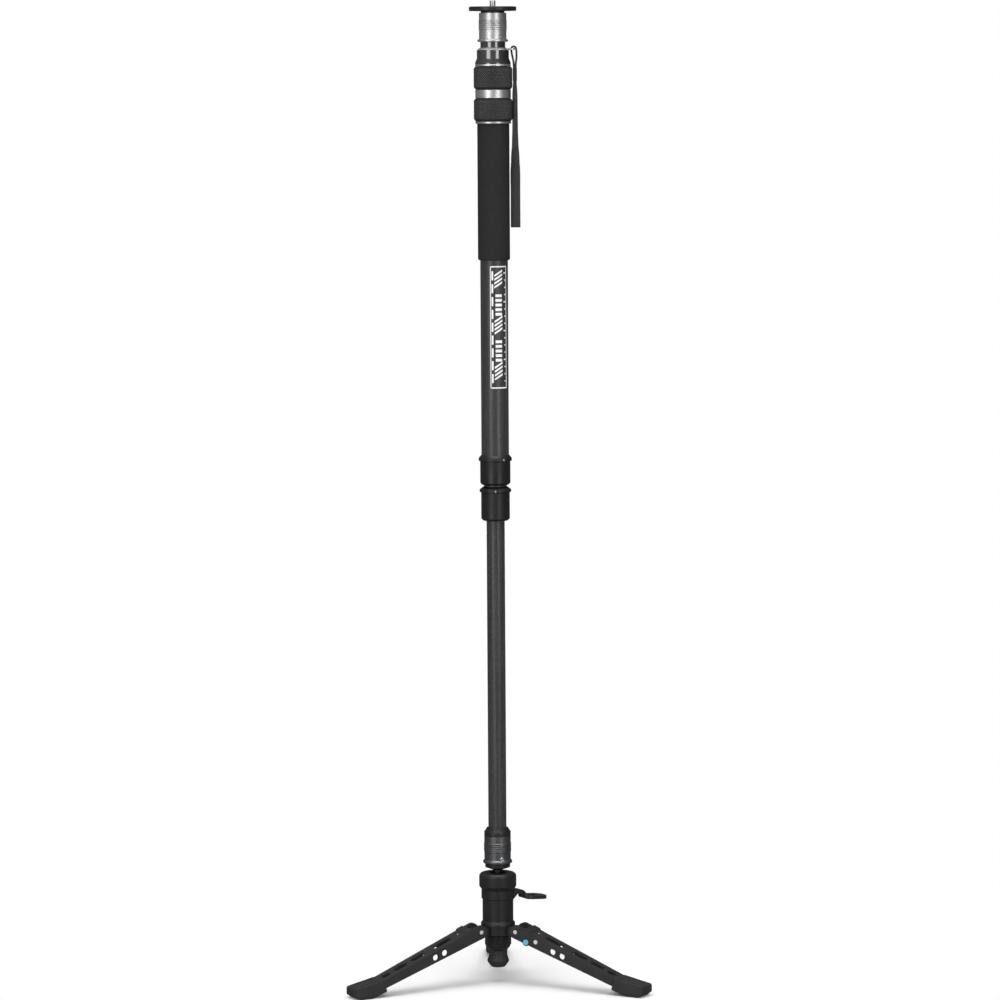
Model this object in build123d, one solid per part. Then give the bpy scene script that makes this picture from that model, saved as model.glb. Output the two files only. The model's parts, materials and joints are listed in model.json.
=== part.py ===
from build123d import *
import math
import os

# Camera monopod, millimetres, Z up. The origin is on the pole's axis at floor level.
# Bearings are angles about Z, counter-clockwise from +X.

# Running clearances, the same wherever one piece turns or slides in another
slide_gap = 0.05
free_gap = 0.3
cut_over = 1.0

# Heights of the stack above the floor, from the centre foot to the camera stud
centre_foot_clear = 16.8
foot_bulb_height = 12.8
foot_neck_height = 5.6
hub_nut_height = 17.8
leg_hub_height = 10.2
base_body_height = 29.5
band_height = 10.5
bell_height = 18.3
cup_gap = 3.5
cup_height = 6.6
lower_sleeve_height = 30.8
cap_ring_height = 8.8
lower_tube_bare = 338.0
lower_collar_height = 37.4
collar_gap = 1.6
upper_collar_height = 32.5
upper_tube_bare = 211.7
foam_height = 147.3
trim_ring_height = 2.6
twist_grip_height = 24.7
index_ring_height = 9.6
neck_ring_height = 15.0
eyelet_ring_height = 2.7
bare_stem_height = 5.9
upper_sleeve_height = 31.2
plate_neck_height = 2.1
plate_height = 4.8
stud_height = 6.4

# Radii of the turned pieces that show
foot_bulb_radius = 12.4
foot_neck_radius = 10.0
hub_nut_radius = 14.5
leg_hub_radius = 17.0
base_radius = 16.9
band_radius = 18.0
bell_radius = 20.4
cup_radius = 13.7
lower_sleeve_radius = 14.5
lower_tube_radius = 9.9
middle_tube_radius = 12.25
upper_tube_radius = 15.0
lower_collar_radius = 15.6
upper_collar_radius = 16.45
foam_radius = 17.4
twist_grip_radius = 20.4
trim_ring_radius = 19.3
index_ring_radius = 19.2
neck_ring_radius = 17.3
stem_radius = 13.4
upper_sleeve_radius = 14.8
plate_radius = 25.6
stud_radius = 3.175
tube_wall = 1.3

# Legs: bearing of each leg, its hinge, and its outline in the leg's own upright plane
leg_bearings = {"right": -30, "rear": 90, "left": 210}
leg_hinge_radius = 28.0
leg_hinge_rise = 6.0
ankle_height = 17.0
leg_width = 24.0
leg_root_radius = 7.3
leg_reach = 129.0
leg_end_thickness = 8.7
leg_pin_radius = 2.2

# Ball joint and pedal
ball_radius = 10.0
ball_rise = 2.8
ball_stem_radius = 5.0
pedal_bearing = 30
pedal_pin_at = 13.0
pedal_pin_drop = 2.7
pedal_pin_radius = 1.5
pedal_eye_width = 12.0

# Heights that follow from the stack
foot_bulb_top = centre_foot_clear + foot_bulb_height
foot_top = foot_bulb_top + foot_neck_height
nut_top = foot_top + hub_nut_height
hub_top = nut_top + leg_hub_height
base_top = hub_top + base_body_height
band_top = base_top + band_height
bell_top = band_top + bell_height
cup_bottom = bell_top + cup_gap
cup_top = cup_bottom + cup_height
lower_sleeve_top = cup_top + lower_sleeve_height
cap_ring_top = lower_sleeve_top + cap_ring_height
lower_collar_bottom = cap_ring_top + lower_tube_bare
lower_collar_top = lower_collar_bottom + lower_collar_height
upper_collar_bottom = lower_collar_top + collar_gap
upper_collar_top = upper_collar_bottom + upper_collar_height
foam_bottom = upper_collar_top + upper_tube_bare
foam_top = foam_bottom + foam_height
lower_grip_bottom = foam_top + trim_ring_height
lower_grip_top = lower_grip_bottom + twist_grip_height
upper_grip_bottom = lower_grip_top + index_ring_height
upper_grip_top = upper_grip_bottom + twist_grip_height
neck_ring_bottom = upper_grip_top + trim_ring_height
neck_ring_top = neck_ring_bottom + neck_ring_height
eyelet_ring_top = neck_ring_top + eyelet_ring_height
upper_sleeve_bottom = eyelet_ring_top + bare_stem_height
upper_sleeve_top = upper_sleeve_bottom + upper_sleeve_height
plate_bottom = upper_sleeve_top + plate_neck_height
plate_top = plate_bottom + plate_height
stud_top = plate_top + stud_height

# Heights and slope of the moving parts, which follow from the stack
ball_height = band_top + ball_rise
pedal_pin_height = base_top - pedal_pin_drop
leg_hinge_height = nut_top + leg_hinge_rise
leg_slope = math.degrees(math.asin((leg_hinge_height - ankle_height) / leg_reach))
ankle_radius = leg_hinge_radius + leg_reach * math.cos(math.radians(leg_slope))


def turned(*outline):
    """A body turned about Z. Each outline entry is (radius, height) or (radius, height, corner rounding)."""
    points = [entry[:2] for entry in outline]
    roundings = [entry[2] if len(entry) > 2 else 0 for entry in outline]
    if any(roundings):
        edges = FilletPolyline(*points, radius=roundings, close=True)
    else:
        edges = Polyline(*points, close=True)
    return revolve(Plane.XZ * make_face(edges), Axis.Z)


def rod(radius, low, high, x=0.0, y=0.0):
    """An upright round bar between two heights."""
    return Pos(x, y, (low + high) / 2) * Cylinder(radius, high - low)


def upright_plate(outline, width, roundings=0):
    """A plate in the XZ plane through Z, given by (distance from the axis, height) points."""
    if roundings:
        edges = FilletPolyline(*outline, radius=roundings, close=True)
    else:
        edges = Polyline(*outline, close=True)
    return extrude(Plane.XZ * make_face(edges), width / 2, both=True)


def cross_bar(radius, length, at, height):
    """A round bar along Y, centred over the XZ plane."""
    return Pos(at, 0, height) * Rot(X=90) * Cylinder(radius, length)


def block(x_low, x_high, width, z_low, z_high):
    """A box between two distances from the axis, centred on the XZ plane."""
    middle = Pos((x_low + x_high) / 2, 0, (z_low + z_high) / 2)
    return middle * Box(x_high - x_low, width, z_high - z_low)


def spring(radius, wire_radius, low, high, turns):
    """A round-wire compression spring between two heights."""
    pitch = (high - low - 2 * wire_radius) / turns
    path = Pos(0, 0, low + wire_radius) * Helix(pitch, pitch * turns, radius)
    return sweep(Plane(path ^ 0) * Circle(wire_radius), path, is_frenet=True)


def save(solid, name):
    """Writes one sub-part to its own file."""
    solid.label = name
    export_step(solid, f"parts/{name}.step")


# Rubber centre foot, pushed on the end of the centre stem
stem_shank_radius = 8.0
stem_thread_radius = 6.0
stem_shank_low = centre_foot_clear + foot_bulb_height / 2
foot_sole_radius = 7.5
foot_rounding = 4.0


def centre_foot():
    foot = turned(
        (0, centre_foot_clear),
        (foot_sole_radius, centre_foot_clear),
        (foot_bulb_radius, centre_foot_clear + foot_bulb_height / 2, foot_rounding),
        (foot_neck_radius, foot_bulb_top, foot_rounding),
        (foot_neck_radius, foot_top),
        (0, foot_top),
    )
    return foot - rod(stem_shank_radius, stem_shank_low, foot_top + cut_over)


def centre_stem():
    shank = rod(stem_shank_radius, stem_shank_low, nut_top)
    return shank + rod(stem_thread_radius, nut_top, hub_top)


# Ribbed nut that clamps the hub, with finger ribs all round
nut_rib_count = 10
nut_rib_radius = 2.2
nut_chamfer = 1.5


def hub_nut():
    plain_radius = hub_nut_radius - nut_rib_radius / 2
    nut = turned(
        (stem_shank_radius + slide_gap, foot_top),
        (foot_neck_radius, foot_top),
        (plain_radius, foot_top + hub_nut_height / 4),
        (plain_radius, nut_top - nut_chamfer),
        (plain_radius - nut_chamfer, nut_top),
        (stem_shank_radius + slide_gap, nut_top),
    )
    ribs = []
    for number in range(nut_rib_count):
        place = Rot(Z=number * 360 / nut_rib_count) * Pos(plain_radius - nut_rib_radius / 2, 0)
        ribs.append(place * rod(nut_rib_radius, foot_top + hub_nut_height / 3, nut_top - nut_chamfer))
    return nut + ribs


# Leg hub: a thick ring with one lug for each leg
lug_width = 14.0
lug_nose_radius = 6.2


def at_each_leg(solid):
    """Copies a solid made along +X to the bearing of every leg."""
    return [Rot(Z=bearing) * solid for bearing in leg_bearings.values()]


def leg_hub():
    ring = rod(leg_hub_radius, nut_top, hub_top)
    arm = block(stem_thread_radius, leg_hinge_radius, lug_width, nut_top, hub_top)
    nose = cross_bar(lug_nose_radius, lug_width, leg_hinge_radius, leg_hinge_height)
    trim = block(0, leg_hinge_radius + leg_root_radius, lug_width, nut_top, hub_top)
    pin_hole = cross_bar(leg_pin_radius, leg_width + cut_over, leg_hinge_radius, leg_hinge_height)
    lugs = at_each_leg((arm + (nose & trim)) - pin_hole)
    return ring + lugs - rod(stem_thread_radius, nut_top - cut_over, hub_top + cut_over)


def hinge_pins():
    pin = cross_bar(leg_pin_radius, leg_width, leg_hinge_radius, leg_hinge_height)
    return Compound(children=at_each_leg(pin))


# Base body: a turned housing for the brake piston below and the ball above
base_flare_radius = 18.8
base_flare_height = 5.0
neck_radius = 15.0
neck_top = ball_height + ball_radius / 2
race_bore_radius = 11.5
race_depth_share = 0.9
race_ledge = ball_height - race_depth_share * ball_radius
piston_bore_radius = 8.5
piston_bore_drop = 4.0
guide_height = 6.0
piston_bore_low = pedal_pin_height - piston_bore_drop
guide_low = piston_bore_low - guide_height
guide_radius = 3.0
spring_bore_radius = 7.0
pedal_slot_width = pedal_eye_width + 2 * free_gap
pedal_slot_drop = 3.4
pedal_slot_low = pedal_pin_height - pedal_slot_drop
pedal_pin_length = 18.0
top_of_slot = band_top + cut_over


def base_body():
    outside = turned(
        (0, hub_top),
        (base_flare_radius, hub_top),
        (base_flare_radius, hub_top + base_flare_height / 2),
        (base_radius, hub_top + base_flare_height, base_flare_height / 2),
        (base_radius, base_top),
        (neck_radius, base_top),
        (neck_radius, neck_top),
        (0, neck_top),
    )
    inside = rod(race_bore_radius, race_ledge, neck_top + cut_over)
    inside += rod(piston_bore_radius, piston_bore_low, race_ledge + cut_over)
    inside += rod(guide_radius + slide_gap, guide_low - cut_over, piston_bore_low + cut_over)
    inside += rod(spring_bore_radius, hub_top - cut_over, guide_low)
    slot = block(0, base_flare_radius + cut_over, pedal_slot_width, pedal_slot_low, top_of_slot)
    pin_hole = cross_bar(pedal_pin_radius, pedal_pin_length, pedal_pin_at, pedal_pin_height)
    return outside - inside - Rot(Z=pedal_bearing) * (slot + pin_hole)


def pedal_pin():
    pin = cross_bar(pedal_pin_radius, pedal_pin_length, pedal_pin_at, pedal_pin_height)
    return Rot(Z=pedal_bearing) * pin


# Band ring: the index band round the base's neck, open where the pedal comes out
band_slot_extra = 1.4
band_slot_width = pedal_slot_width + band_slot_extra
band_groove = 0.6


def band_ring():
    ring = turned(
        (neck_radius, base_top),
        (band_radius - band_groove, base_top),
        (band_radius, base_top + band_groove),
        (band_radius, band_top - band_groove),
        (band_radius - band_groove, band_top),
        (neck_radius, band_top),
    )
    slot = block(0, bell_radius, band_slot_width, base_top - cut_over, band_top + cut_over)
    return ring - Rot(Z=pedal_bearing) * slot


# Bell cap: screwed over the neck, with a round mouth and four shallow notches for the stem
bell_taper_height = 3.6
bell_shoulder = 4.5
bell_mouth_radius = 9.5
bell_roof = 3.2
notch_radius = 2.2
notch_depth = 1.0


def bell_cap():
    cap = turned(
        (neck_radius, band_top),
        (band_radius, band_top),
        (bell_radius, band_top + bell_taper_height, bell_taper_height / 2),
        (bell_radius, bell_top, bell_shoulder),
        (bell_mouth_radius, bell_top),
        (bell_mouth_radius, bell_top - bell_roof),
        (race_bore_radius, bell_top - bell_roof),
        (race_bore_radius, neck_top),
        (neck_radius, neck_top),
    )
    notch = rod(notch_radius, bell_top - notch_depth, bell_top + cut_over, x=bell_mouth_radius)
    return cap - [Rot(Z=quarter * 90) * notch for quarter in range(4)]


# Ball seat above the ball and swivel race below it: both are rings with a ball-shaped bore
race_top = ball_height - ball_radius / 2
seat_low = ball_height + ball_radius / 10
seat_mouth_gap = 3.4
seat_mouth_radius = ball_stem_radius + seat_mouth_gap


def ball_space():
    """The ball with its running clearance."""
    return Pos(0, 0, ball_height) * Sphere(ball_radius + slide_gap)


def ball_seat():
    ring = rod(race_bore_radius, seat_low, bell_top - bell_roof)
    mouth = rod(seat_mouth_radius, ball_height, bell_top)
    return ring - ball_space() - mouth


def swivel_race():
    ring = rod(race_bore_radius - slide_gap, race_ledge, race_top)
    return ring - ball_space()


# Brake piston: the pedal's toe lifts its head against the underside of the ball
piston_travel = 2.5
piston_head_height = 1.9
piston_head_radius = piston_bore_radius - free_gap
piston_top = ball_height - ball_radius - free_gap - piston_travel
piston_head_low = piston_top - piston_head_height
piston_nut_radius = spring_bore_radius - free_gap
piston_nut_rise = 1.5
piston_nut_low = hub_top + piston_nut_rise
piston_nut_height = 3.0
brake_wire_radius = 0.5
brake_coil_radius = guide_radius + 4 * brake_wire_radius
brake_turns = 5


def brake_piston():
    head = rod(piston_head_radius, piston_head_low, piston_top)
    guide = rod(guide_radius, piston_nut_low, piston_head_low)
    nut = rod(piston_nut_radius, piston_nut_low, piston_nut_low + piston_nut_height)
    return head + guide + nut


def brake_spring():
    low = piston_nut_low + piston_nut_height
    return spring(brake_coil_radius, brake_wire_radius, low, guide_low, brake_turns)


# Foot pedal: an eye on the pin, a forked toe inside and a paddle outside
pedal_eye_radius = 2.9
toe_reach = 8.0
toe_thickness = 2.4
toe_side_gap = 0.6
toe_fork_width = 2 * (guide_radius + toe_side_gap)
toe_top = piston_head_low - free_gap
pedal_thickness = 3.4
pedal_arm_inset = 2.2
pedal_arm_at = band_radius - pedal_arm_inset
pedal_shoulder_at = 22.5
pedal_shoulder_drop = 1.6
pedal_shoulder_height = band_top - pedal_shoulder_drop
pedal_knee_at = 29.5
pedal_knee_rise = 9.5
pedal_bend_at = 34.0
pedal_bend_rise = 3.0
pedal_tip_at = 60.0
pedal_tip_rise = 1.0
pedal_root_share = 1.5
pedal_arm_width = 12.0
paddle_width = 23
paddle_hole_length = 10.0
paddle_hole_width = 8
paddle_hole_at = 42.0
paddle_round_share = 0.45


def pedal_side():
    """The bent strip seen from the side, between its eye and its tip."""
    top = [
        (pedal_pin_at, pedal_pin_height + pedal_eye_radius),
        (pedal_arm_at, pedal_shoulder_height),
        (pedal_shoulder_at, pedal_shoulder_height),
        (pedal_knee_at, pedal_pin_height + pedal_knee_rise),
        (pedal_bend_at, pedal_pin_height + pedal_bend_rise),
        (pedal_tip_at, pedal_pin_height + pedal_tip_rise),
    ]
    underside = [
        (pedal_tip_at, pedal_pin_height + pedal_tip_rise - pedal_thickness),
        (pedal_bend_at - pedal_thickness / 2, pedal_pin_height + pedal_bend_rise - pedal_thickness),
        (pedal_knee_at - pedal_thickness / 2, pedal_pin_height + pedal_knee_rise - pedal_thickness),
        (pedal_shoulder_at, pedal_shoulder_height - pedal_root_share * pedal_thickness),
        (pedal_pin_at + pedal_eye_radius, pedal_pin_height),
    ]
    return top + underside


def foot_pedal():
    strip = upright_plate(pedal_side(), paddle_width)
    arm = block(0, pedal_bend_at, pedal_arm_width, pedal_pin_height - pedal_eye_radius, band_top)
    paddle_start = pedal_bend_at - paddle_width / 4
    paddle_middle = (paddle_start + pedal_tip_at) / 2
    paddle_length = pedal_tip_at - paddle_start
    paddle_plan = RectangleRounded(paddle_length, paddle_width, paddle_round_share * paddle_width)
    hole_plan = SlotOverall(paddle_hole_length, paddle_hole_width)
    paddle = Pos(paddle_middle, 0, 0) * extrude(paddle_plan, band_top)
    hole = Pos(paddle_hole_at, 0, 0) * extrude(hole_plan, band_top)
    eye = cross_bar(pedal_eye_radius, pedal_eye_width, pedal_pin_at, pedal_pin_height)
    toe_tip = pedal_pin_at - toe_reach
    toe = block(toe_tip, pedal_pin_at, pedal_eye_width, toe_top - toe_thickness, toe_top)
    fork = block(0, pedal_pin_at - pedal_eye_radius, toe_fork_width, 0, band_top)
    bore = cross_bar(pedal_pin_radius + slide_gap, paddle_width, pedal_pin_at, pedal_pin_height)
    pedal = (strip & (arm + paddle)) - hole + eye + (toe - fork) - bore
    return Rot(Z=pedal_bearing) * pedal


# Legs: a tapering channel open to the floor, with two cheeks at its root, slots along its top
# and a rubber foot
cheek_gap = lug_width + 2 * free_gap
fork_reach = 8.5
hump_start = 9.0
hump_end = 18.0
hump_height = 1.5
channel_end = 24.0
leg_floor = 2.2
leg_wall = 2.4
trough_start = 36.0
trough_end_gap = 6.0
button_along = 16.0
button_radius = 3.1
button_proud = 1.2
button_boss_radius = 4.3
side_hole_radius = 3.5
side_hole_shares = (0.385, 0.479)
slot_span_shares = ((0.25, 0.434), (0.523, 0.667), (0.713, 0.845), (0.884, 0.969))
slot_width = 8.6
tongue_length = 22.0


def leg_frame(bearing):
    """The leg's own frame: X runs down the leg from its hinge, Z is square to its lower face."""
    hinge = Pos(leg_hinge_radius, 0, leg_hinge_height)
    return Rot(Z=bearing) * hinge * Rot(Y=leg_slope)


def leg_top_at(distance):
    """Height of the leg's top face over its hinge line, which falls towards the foot."""
    fall = 2 * leg_root_radius - leg_end_thickness
    return leg_root_radius - fall * distance / leg_reach


def leg_side():
    """Outline of the leg's side, in its own frame."""
    return [
        (0, -leg_root_radius),
        (leg_reach, -leg_root_radius),
        (leg_reach, leg_top_at(leg_reach)),
        (hump_end, leg_top_at(hump_end)),
        (hump_end - hump_height, leg_top_at(hump_end) + hump_height),
        (hump_start, leg_top_at(hump_start) + hump_height),
        (hump_start - hump_height / 2, leg_top_at(hump_start)),
        (0, leg_root_radius),
    ]


def leg_trough():
    """The hollow under the leg, open to the floor, between its solid root and its end."""
    trough_end = leg_reach - trough_end_gap
    outline = [
        (trough_start, -leg_root_radius - cut_over),
        (trough_end, -leg_root_radius - cut_over),
        (trough_end, leg_top_at(trough_end) - leg_floor),
        (trough_start, leg_top_at(trough_start) - leg_floor),
    ]
    return upright_plate(outline, leg_width - 2 * leg_wall)


def leg_blank():
    bar = upright_plate(leg_side(), leg_width) + cross_bar(leg_root_radius, leg_width, 0, 0)
    boss = Rot(X=90) * rod(button_boss_radius, cheek_gap / 2, leg_width / 2)
    bar += Pos(button_along, 0, button_line) * boss
    fork = block(-2 * leg_root_radius, fork_reach, cheek_gap, -2 * leg_root_radius, 2 * leg_root_radius)
    channel_roof = leg_top_at(channel_end) - leg_floor
    channel = block(0, channel_end, cheek_gap, leg_floor - leg_root_radius, channel_roof)
    bar -= fork + channel
    bar -= leg_trough()
    for start_share, end_share in slot_span_shares:
        middle = leg_reach * (start_share + end_share) / 2
        slot = Pos(middle, 0) * SlotOverall(leg_reach * (end_share - start_share), slot_width)
        bar -= Pos(0, 0, leg_floor - leg_root_radius) * extrude(slot, 3 * leg_root_radius)
    for share in side_hole_shares:
        bar -= cross_bar(side_hole_radius, leg_width + cut_over, share * leg_reach, -leg_root_radius / 4)
    return bar


def leg(bearing):
    bar = leg_blank()
    bar -= cross_bar(leg_pin_radius + slide_gap, leg_width + cut_over, 0, 0)
    button_hole = rod(button_radius + slide_gap, 0, leg_width)
    bar -= Pos(button_along, 0, button_line) * Rot(X=90) * button_hole
    bar -= leg_screw_solids(free_gap / 10)
    tongue = block(leg_reach, leg_reach + tongue_length, slot_width, tongue_low, tongue_top)
    return leg_frame(bearing) * (bar + tongue)


# Lock button in the near cheek of each leg, a cup pushed outwards by its spring
button_line = button_boss_radius / 2 - leg_root_radius
button_inner_reach = 1.0
button_length = (leg_width - cheek_gap) / 2 + button_proud + button_inner_reach


def leg_button(bearing):
    button = rod(button_radius, leg_width / 2 + button_proud - button_length, leg_width / 2 + button_proud)
    return leg_frame(bearing) * Pos(button_along, 0, button_line) * Rot(X=90) * button


# Two small fasteners on each leg: a screw behind the hump and a dowel through the near cheek
hump_screw_radius = 1.4
hump_screw_at = 22.0
dowel_radius = 2.4
dowel_at = 27.0
dowel_length = 4.0
screw_length = 3.4


def leg_screw_solids(extra):
    """The screw and the dowel, made larger by extra for their holes."""
    head_top = leg_top_at(hump_screw_at)
    screw = rod(hump_screw_radius + extra, head_top - screw_length, head_top, x=hump_screw_at)
    dowel = rod(dowel_radius + extra, leg_width / 2 - dowel_length, leg_width / 2 + free_gap)
    return [screw, Pos(dowel_at, 0, 0) * Rot(X=90) * dowel]


def leg_screws(bearing):
    return leg_frame(bearing) * Compound(children=leg_screw_solids(0))


# Rubber foot: a boot over the leg's tongue with a flat sole on the floor
sole_start_reach = 14.0
sole_end_reach = 29.0
foot_tip_reach = 34.0
foot_tip_height = 12.3
foot_heel_rise = 4.0
sole_height = 3.0
sole_inset = 0.8
recess_depth = 1.2
recess_width = 5.2
recess_side = 6.8
recess_start_share = 0.14
recess_end_share = 0.8
boot_rounding = 2.5
boot_wall = 2.6
tongue_low = boot_wall - leg_root_radius
tongue_top = leg_top_at(leg_reach) - boot_wall
boot_rise = 0.8


def leg_point(distance, offset):
    """A point of the leg's own frame as (distance from the pole's axis, height)."""
    corner = Pos(leg_hinge_radius, 0, leg_hinge_height) * Rot(Y=leg_slope) * Pos(distance, 0, offset)
    return (corner.position.X, corner.position.Z)


def boot_top_point(share, offset):
    """A point over the boot's top edge, at a share of its way from the leg's end to the tip."""
    start_at, start_height = leg_point(leg_reach, leg_top_at(leg_reach) + boot_rise)
    tip_at = ankle_radius + foot_tip_reach
    place = start_at + share * (tip_at - start_at)
    return (place, start_height + share * (foot_tip_height - start_height) + offset)


def leg_foot(bearing):
    tip_at = ankle_radius + foot_tip_reach
    outline = [
        boot_top_point(0, 0),
        leg_point(leg_reach, -leg_root_radius - foot_heel_rise),
        (ankle_radius + sole_start_reach, 0),
        (ankle_radius + sole_end_reach, 0),
        (tip_at, foot_heel_rise),
        (tip_at, foot_tip_height),
    ]
    roundings = [0, boot_rounding / 2, 0, 0, boot_rounding, boot_rounding]
    boot = upright_plate(outline, leg_width, roundings)
    recess_outline = [
        boot_top_point(recess_start_share, cut_over),
        boot_top_point(recess_start_share, -recess_depth),
        boot_top_point(recess_end_share, -recess_depth),
        boot_top_point(recess_end_share, cut_over),
    ]
    recess = upright_plate(recess_outline, recess_width)
    step = block(0, tip_at + cut_over, 2 * sole_inset, -cut_over, sole_height)
    for side in (-1, 1):
        boot -= Pos(0, side * recess_side) * recess
        boot -= Pos(0, side * leg_width / 2) * step
    boot = Rot(Z=bearing) * boot
    tongue_space = block(leg_reach, leg_reach + tongue_length, slot_width, tongue_low, tongue_top)
    return boot - leg_frame(bearing) * tongue_space


# Ball with its stepped stem, and the cup that turns on the stem
stem_step_height = 2.0
stem_step_radius = 4.0
stem_flange_radius = 6.4
stem_flange_height = 2.0
cup_cone_radius = 6.6
cup_cone_height = 2.6
cup_tube_radius = 12.4
spigot_radius = 9.0
stem_step = cup_bottom + stem_step_height
ball_stem_top = cup_top + lower_sleeve_height / 4
cup_floor = ball_stem_top + stem_flange_height
spigot_low = cup_floor + stem_flange_height / 2


def ball_stem():
    ball = Pos(0, 0, ball_height) * Sphere(ball_radius)
    stem = rod(ball_stem_radius, ball_height, stem_step)
    journal = rod(stem_step_radius, stem_step, ball_stem_top)
    flange = rod(stem_flange_radius, ball_stem_top, cup_floor)
    return ball + stem + journal + flange


def lower_cup():
    return turned(
        (ball_stem_radius + slide_gap, cup_bottom),
        (cup_cone_radius, cup_bottom),
        (cup_radius, cup_bottom + cup_cone_height),
        (cup_radius, cup_top),
        (cup_tube_radius, cup_top),
        (cup_tube_radius, lower_sleeve_top),
        (spigot_radius + slide_gap, lower_sleeve_top),
        (spigot_radius + slide_gap, ball_stem_top),
        (stem_step_radius + slide_gap, ball_stem_top),
        (stem_step_radius + slide_gap, stem_step),
        (ball_stem_radius + slide_gap, stem_step),
    )


# Quick-release sleeves: each slides down over its cup against a spring, and both share one outline
grip_groove_depth = 0.45
grip_zone_rise = 0.4
grip_groove_count = 4
grip_low_share = 0.42
grip_high_share = 0.75
spring_shoulder_share = 0.6
rim_blend_share = 1.5
sleeve_spring_wire = 0.45
sleeve_spring_turns = 6


def spring_shoulder(low, high):
    """Height of the inner shoulder that the sleeve's spring pushes on."""
    return low + spring_shoulder_share * (high - low)


def sleeve(radius, low, high, cup_tube, cup_outer, rim_radius, rim_height):
    """A sleeve with a rim at its foot, a raised grip zone and an inner shoulder for the spring."""
    height = high - low
    grip_low = low + grip_low_share * height
    grip_high = low + grip_high_share * height
    shoulder = spring_shoulder(low, high)
    bore = cup_outer + slide_gap
    outline = [
        (bore, low),
        (radius, low),
        (rim_radius, low + rim_height / 3),
        (rim_radius, low + rim_height),
        (radius, low + rim_blend_share * rim_height),
        (radius, grip_low),
        (radius + grip_zone_rise, grip_low + grip_zone_rise),
    ]
    pitch = (grip_high - grip_low) / (grip_groove_count + 1)
    for number in range(1, grip_groove_count + 1):
        middle = grip_low + number * pitch
        outline.append((radius + grip_zone_rise, middle - grip_groove_depth))
        outline.append((radius + grip_zone_rise - grip_groove_depth, middle))
        outline.append((radius + grip_zone_rise, middle + grip_groove_depth))
    outline += [
        (radius + grip_zone_rise, grip_high - grip_zone_rise),
        (radius, grip_high),
        (radius, high),
        (cup_tube + slide_gap, high),
        (cup_tube + slide_gap, shoulder),
        (bore, shoulder),
    ]
    return turned(*outline)


lower_rim_radius = 15.9
lower_rim_height = 3.0
sleeve_screw_radius = 2.3
sleeve_screw_depth = 0.8
screw_proud = 0.25
lower_screw_bearing = -70
lower_screw_rise = 5.7
lower_screw_height = cup_top + lower_screw_rise


def radial_screw(radius, outer_radius, depth, height, bearing):
    """A short round screw set square into a turned surface."""
    screw = Rot(Y=90) * Cylinder(radius, depth)
    return Rot(Z=bearing) * Pos(outer_radius - depth / 2, 0, height) * screw


def lower_sleeve_screw():
    reach = lower_sleeve_radius + screw_proud
    return radial_screw(
        sleeve_screw_radius, reach, sleeve_screw_depth, lower_screw_height, lower_screw_bearing
    )


def lower_sleeve():
    body = sleeve(
        lower_sleeve_radius, cup_top, lower_sleeve_top, cup_tube_radius, cup_radius,
        lower_rim_radius, lower_rim_height,
    )
    return body - lower_sleeve_screw()


def lower_sleeve_spring():
    radius = (cup_tube_radius + cup_radius) / 2
    high = spring_shoulder(cup_top, lower_sleeve_top)
    return spring(radius, sleeve_spring_wire, cup_top, high, sleeve_spring_turns)


# Cap ring at the foot of the lower tube, with the spigot that the lower sleeve locks
cap_step_radius = 11.8
cap_step_height = 2.2
cap_plug_height = 12.0
tube_seat_rise = 2.0
tube_seat = lower_sleeve_top + tube_seat_rise


def cap_ring():
    bore = lower_tube_radius - tube_wall
    return turned(
        (0, spigot_low),
        (spigot_radius, spigot_low),
        (spigot_radius, lower_sleeve_top),
        (lower_sleeve_radius, lower_sleeve_top),
        (lower_sleeve_radius, lower_sleeve_top + cap_ring_height / 2),
        (cap_step_radius + cap_step_height / 2, cap_ring_top - cap_step_height),
        (cap_step_radius, cap_ring_top),
        (lower_tube_radius, cap_ring_top),
        (lower_tube_radius, tube_seat),
        (bore, tube_seat),
        (bore, tube_seat + cap_plug_height),
        (0, tube_seat + cap_plug_height),
    )


# Tubes: each inner tube reaches well up inside the one that it slides in
tube_overlap = 20.0
lock_head_height = 25.0
lock_root_height = 12.0
head_room = 15.0
middle_tube_top = foam_top - head_room - lock_head_height
lower_tube_top = lower_collar_bottom + tube_overlap


def tube(radius, low, high):
    """A plain round tube."""
    return turned((radius - tube_wall, low), (radius, low), (radius, high), (radius - tube_wall, high))


def lower_tube():
    return tube(lower_tube_radius, tube_seat, lower_tube_top)


def middle_tube():
    return tube(middle_tube_radius, lower_collar_bottom + lower_collar_height / 4, middle_tube_top)


def upper_tube():
    return tube(upper_tube_radius, upper_collar_bottom + upper_collar_height / 4, foam_top)


# Collars: glossy guides at the foot of the upper and of the middle tube
collar_chamfer = 2.2
collar_rim_height = 3.4
collar_rim_rise = 1.6
collar_screw_radius = 1.3
collar_screw_depth = 1.2


def collar(radius, low, high, inner_tube, outer_tube):
    """A guide ring that holds the foot of one tube and lets the next one slide through."""
    height = high - low
    return turned(
        (inner_tube + slide_gap, low),
        (radius - collar_chamfer, low),
        (radius, low + collar_chamfer),
        (radius, high - 2 * collar_rim_height),
        (radius + collar_rim_rise, high - 2 * collar_rim_height + collar_rim_rise / 2),
        (radius + collar_rim_rise, high - collar_rim_height),
        (outer_tube + collar_rim_rise / 4, high),
        (outer_tube, high),
        (outer_tube, low + height / 4),
        (inner_tube + slide_gap, low + height / 4),
    )


def collar_screw(radius, high, bearing):
    """The grub screw in a collar's rim."""
    reach = radius + collar_rim_rise + screw_proud
    height = high - collar_rim_height - collar_rim_height / 2
    return radial_screw(collar_screw_radius, reach, collar_screw_depth, height, bearing)


upper_collar_screw_bearing = -58
lower_collar_screw_bearing = -90


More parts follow.
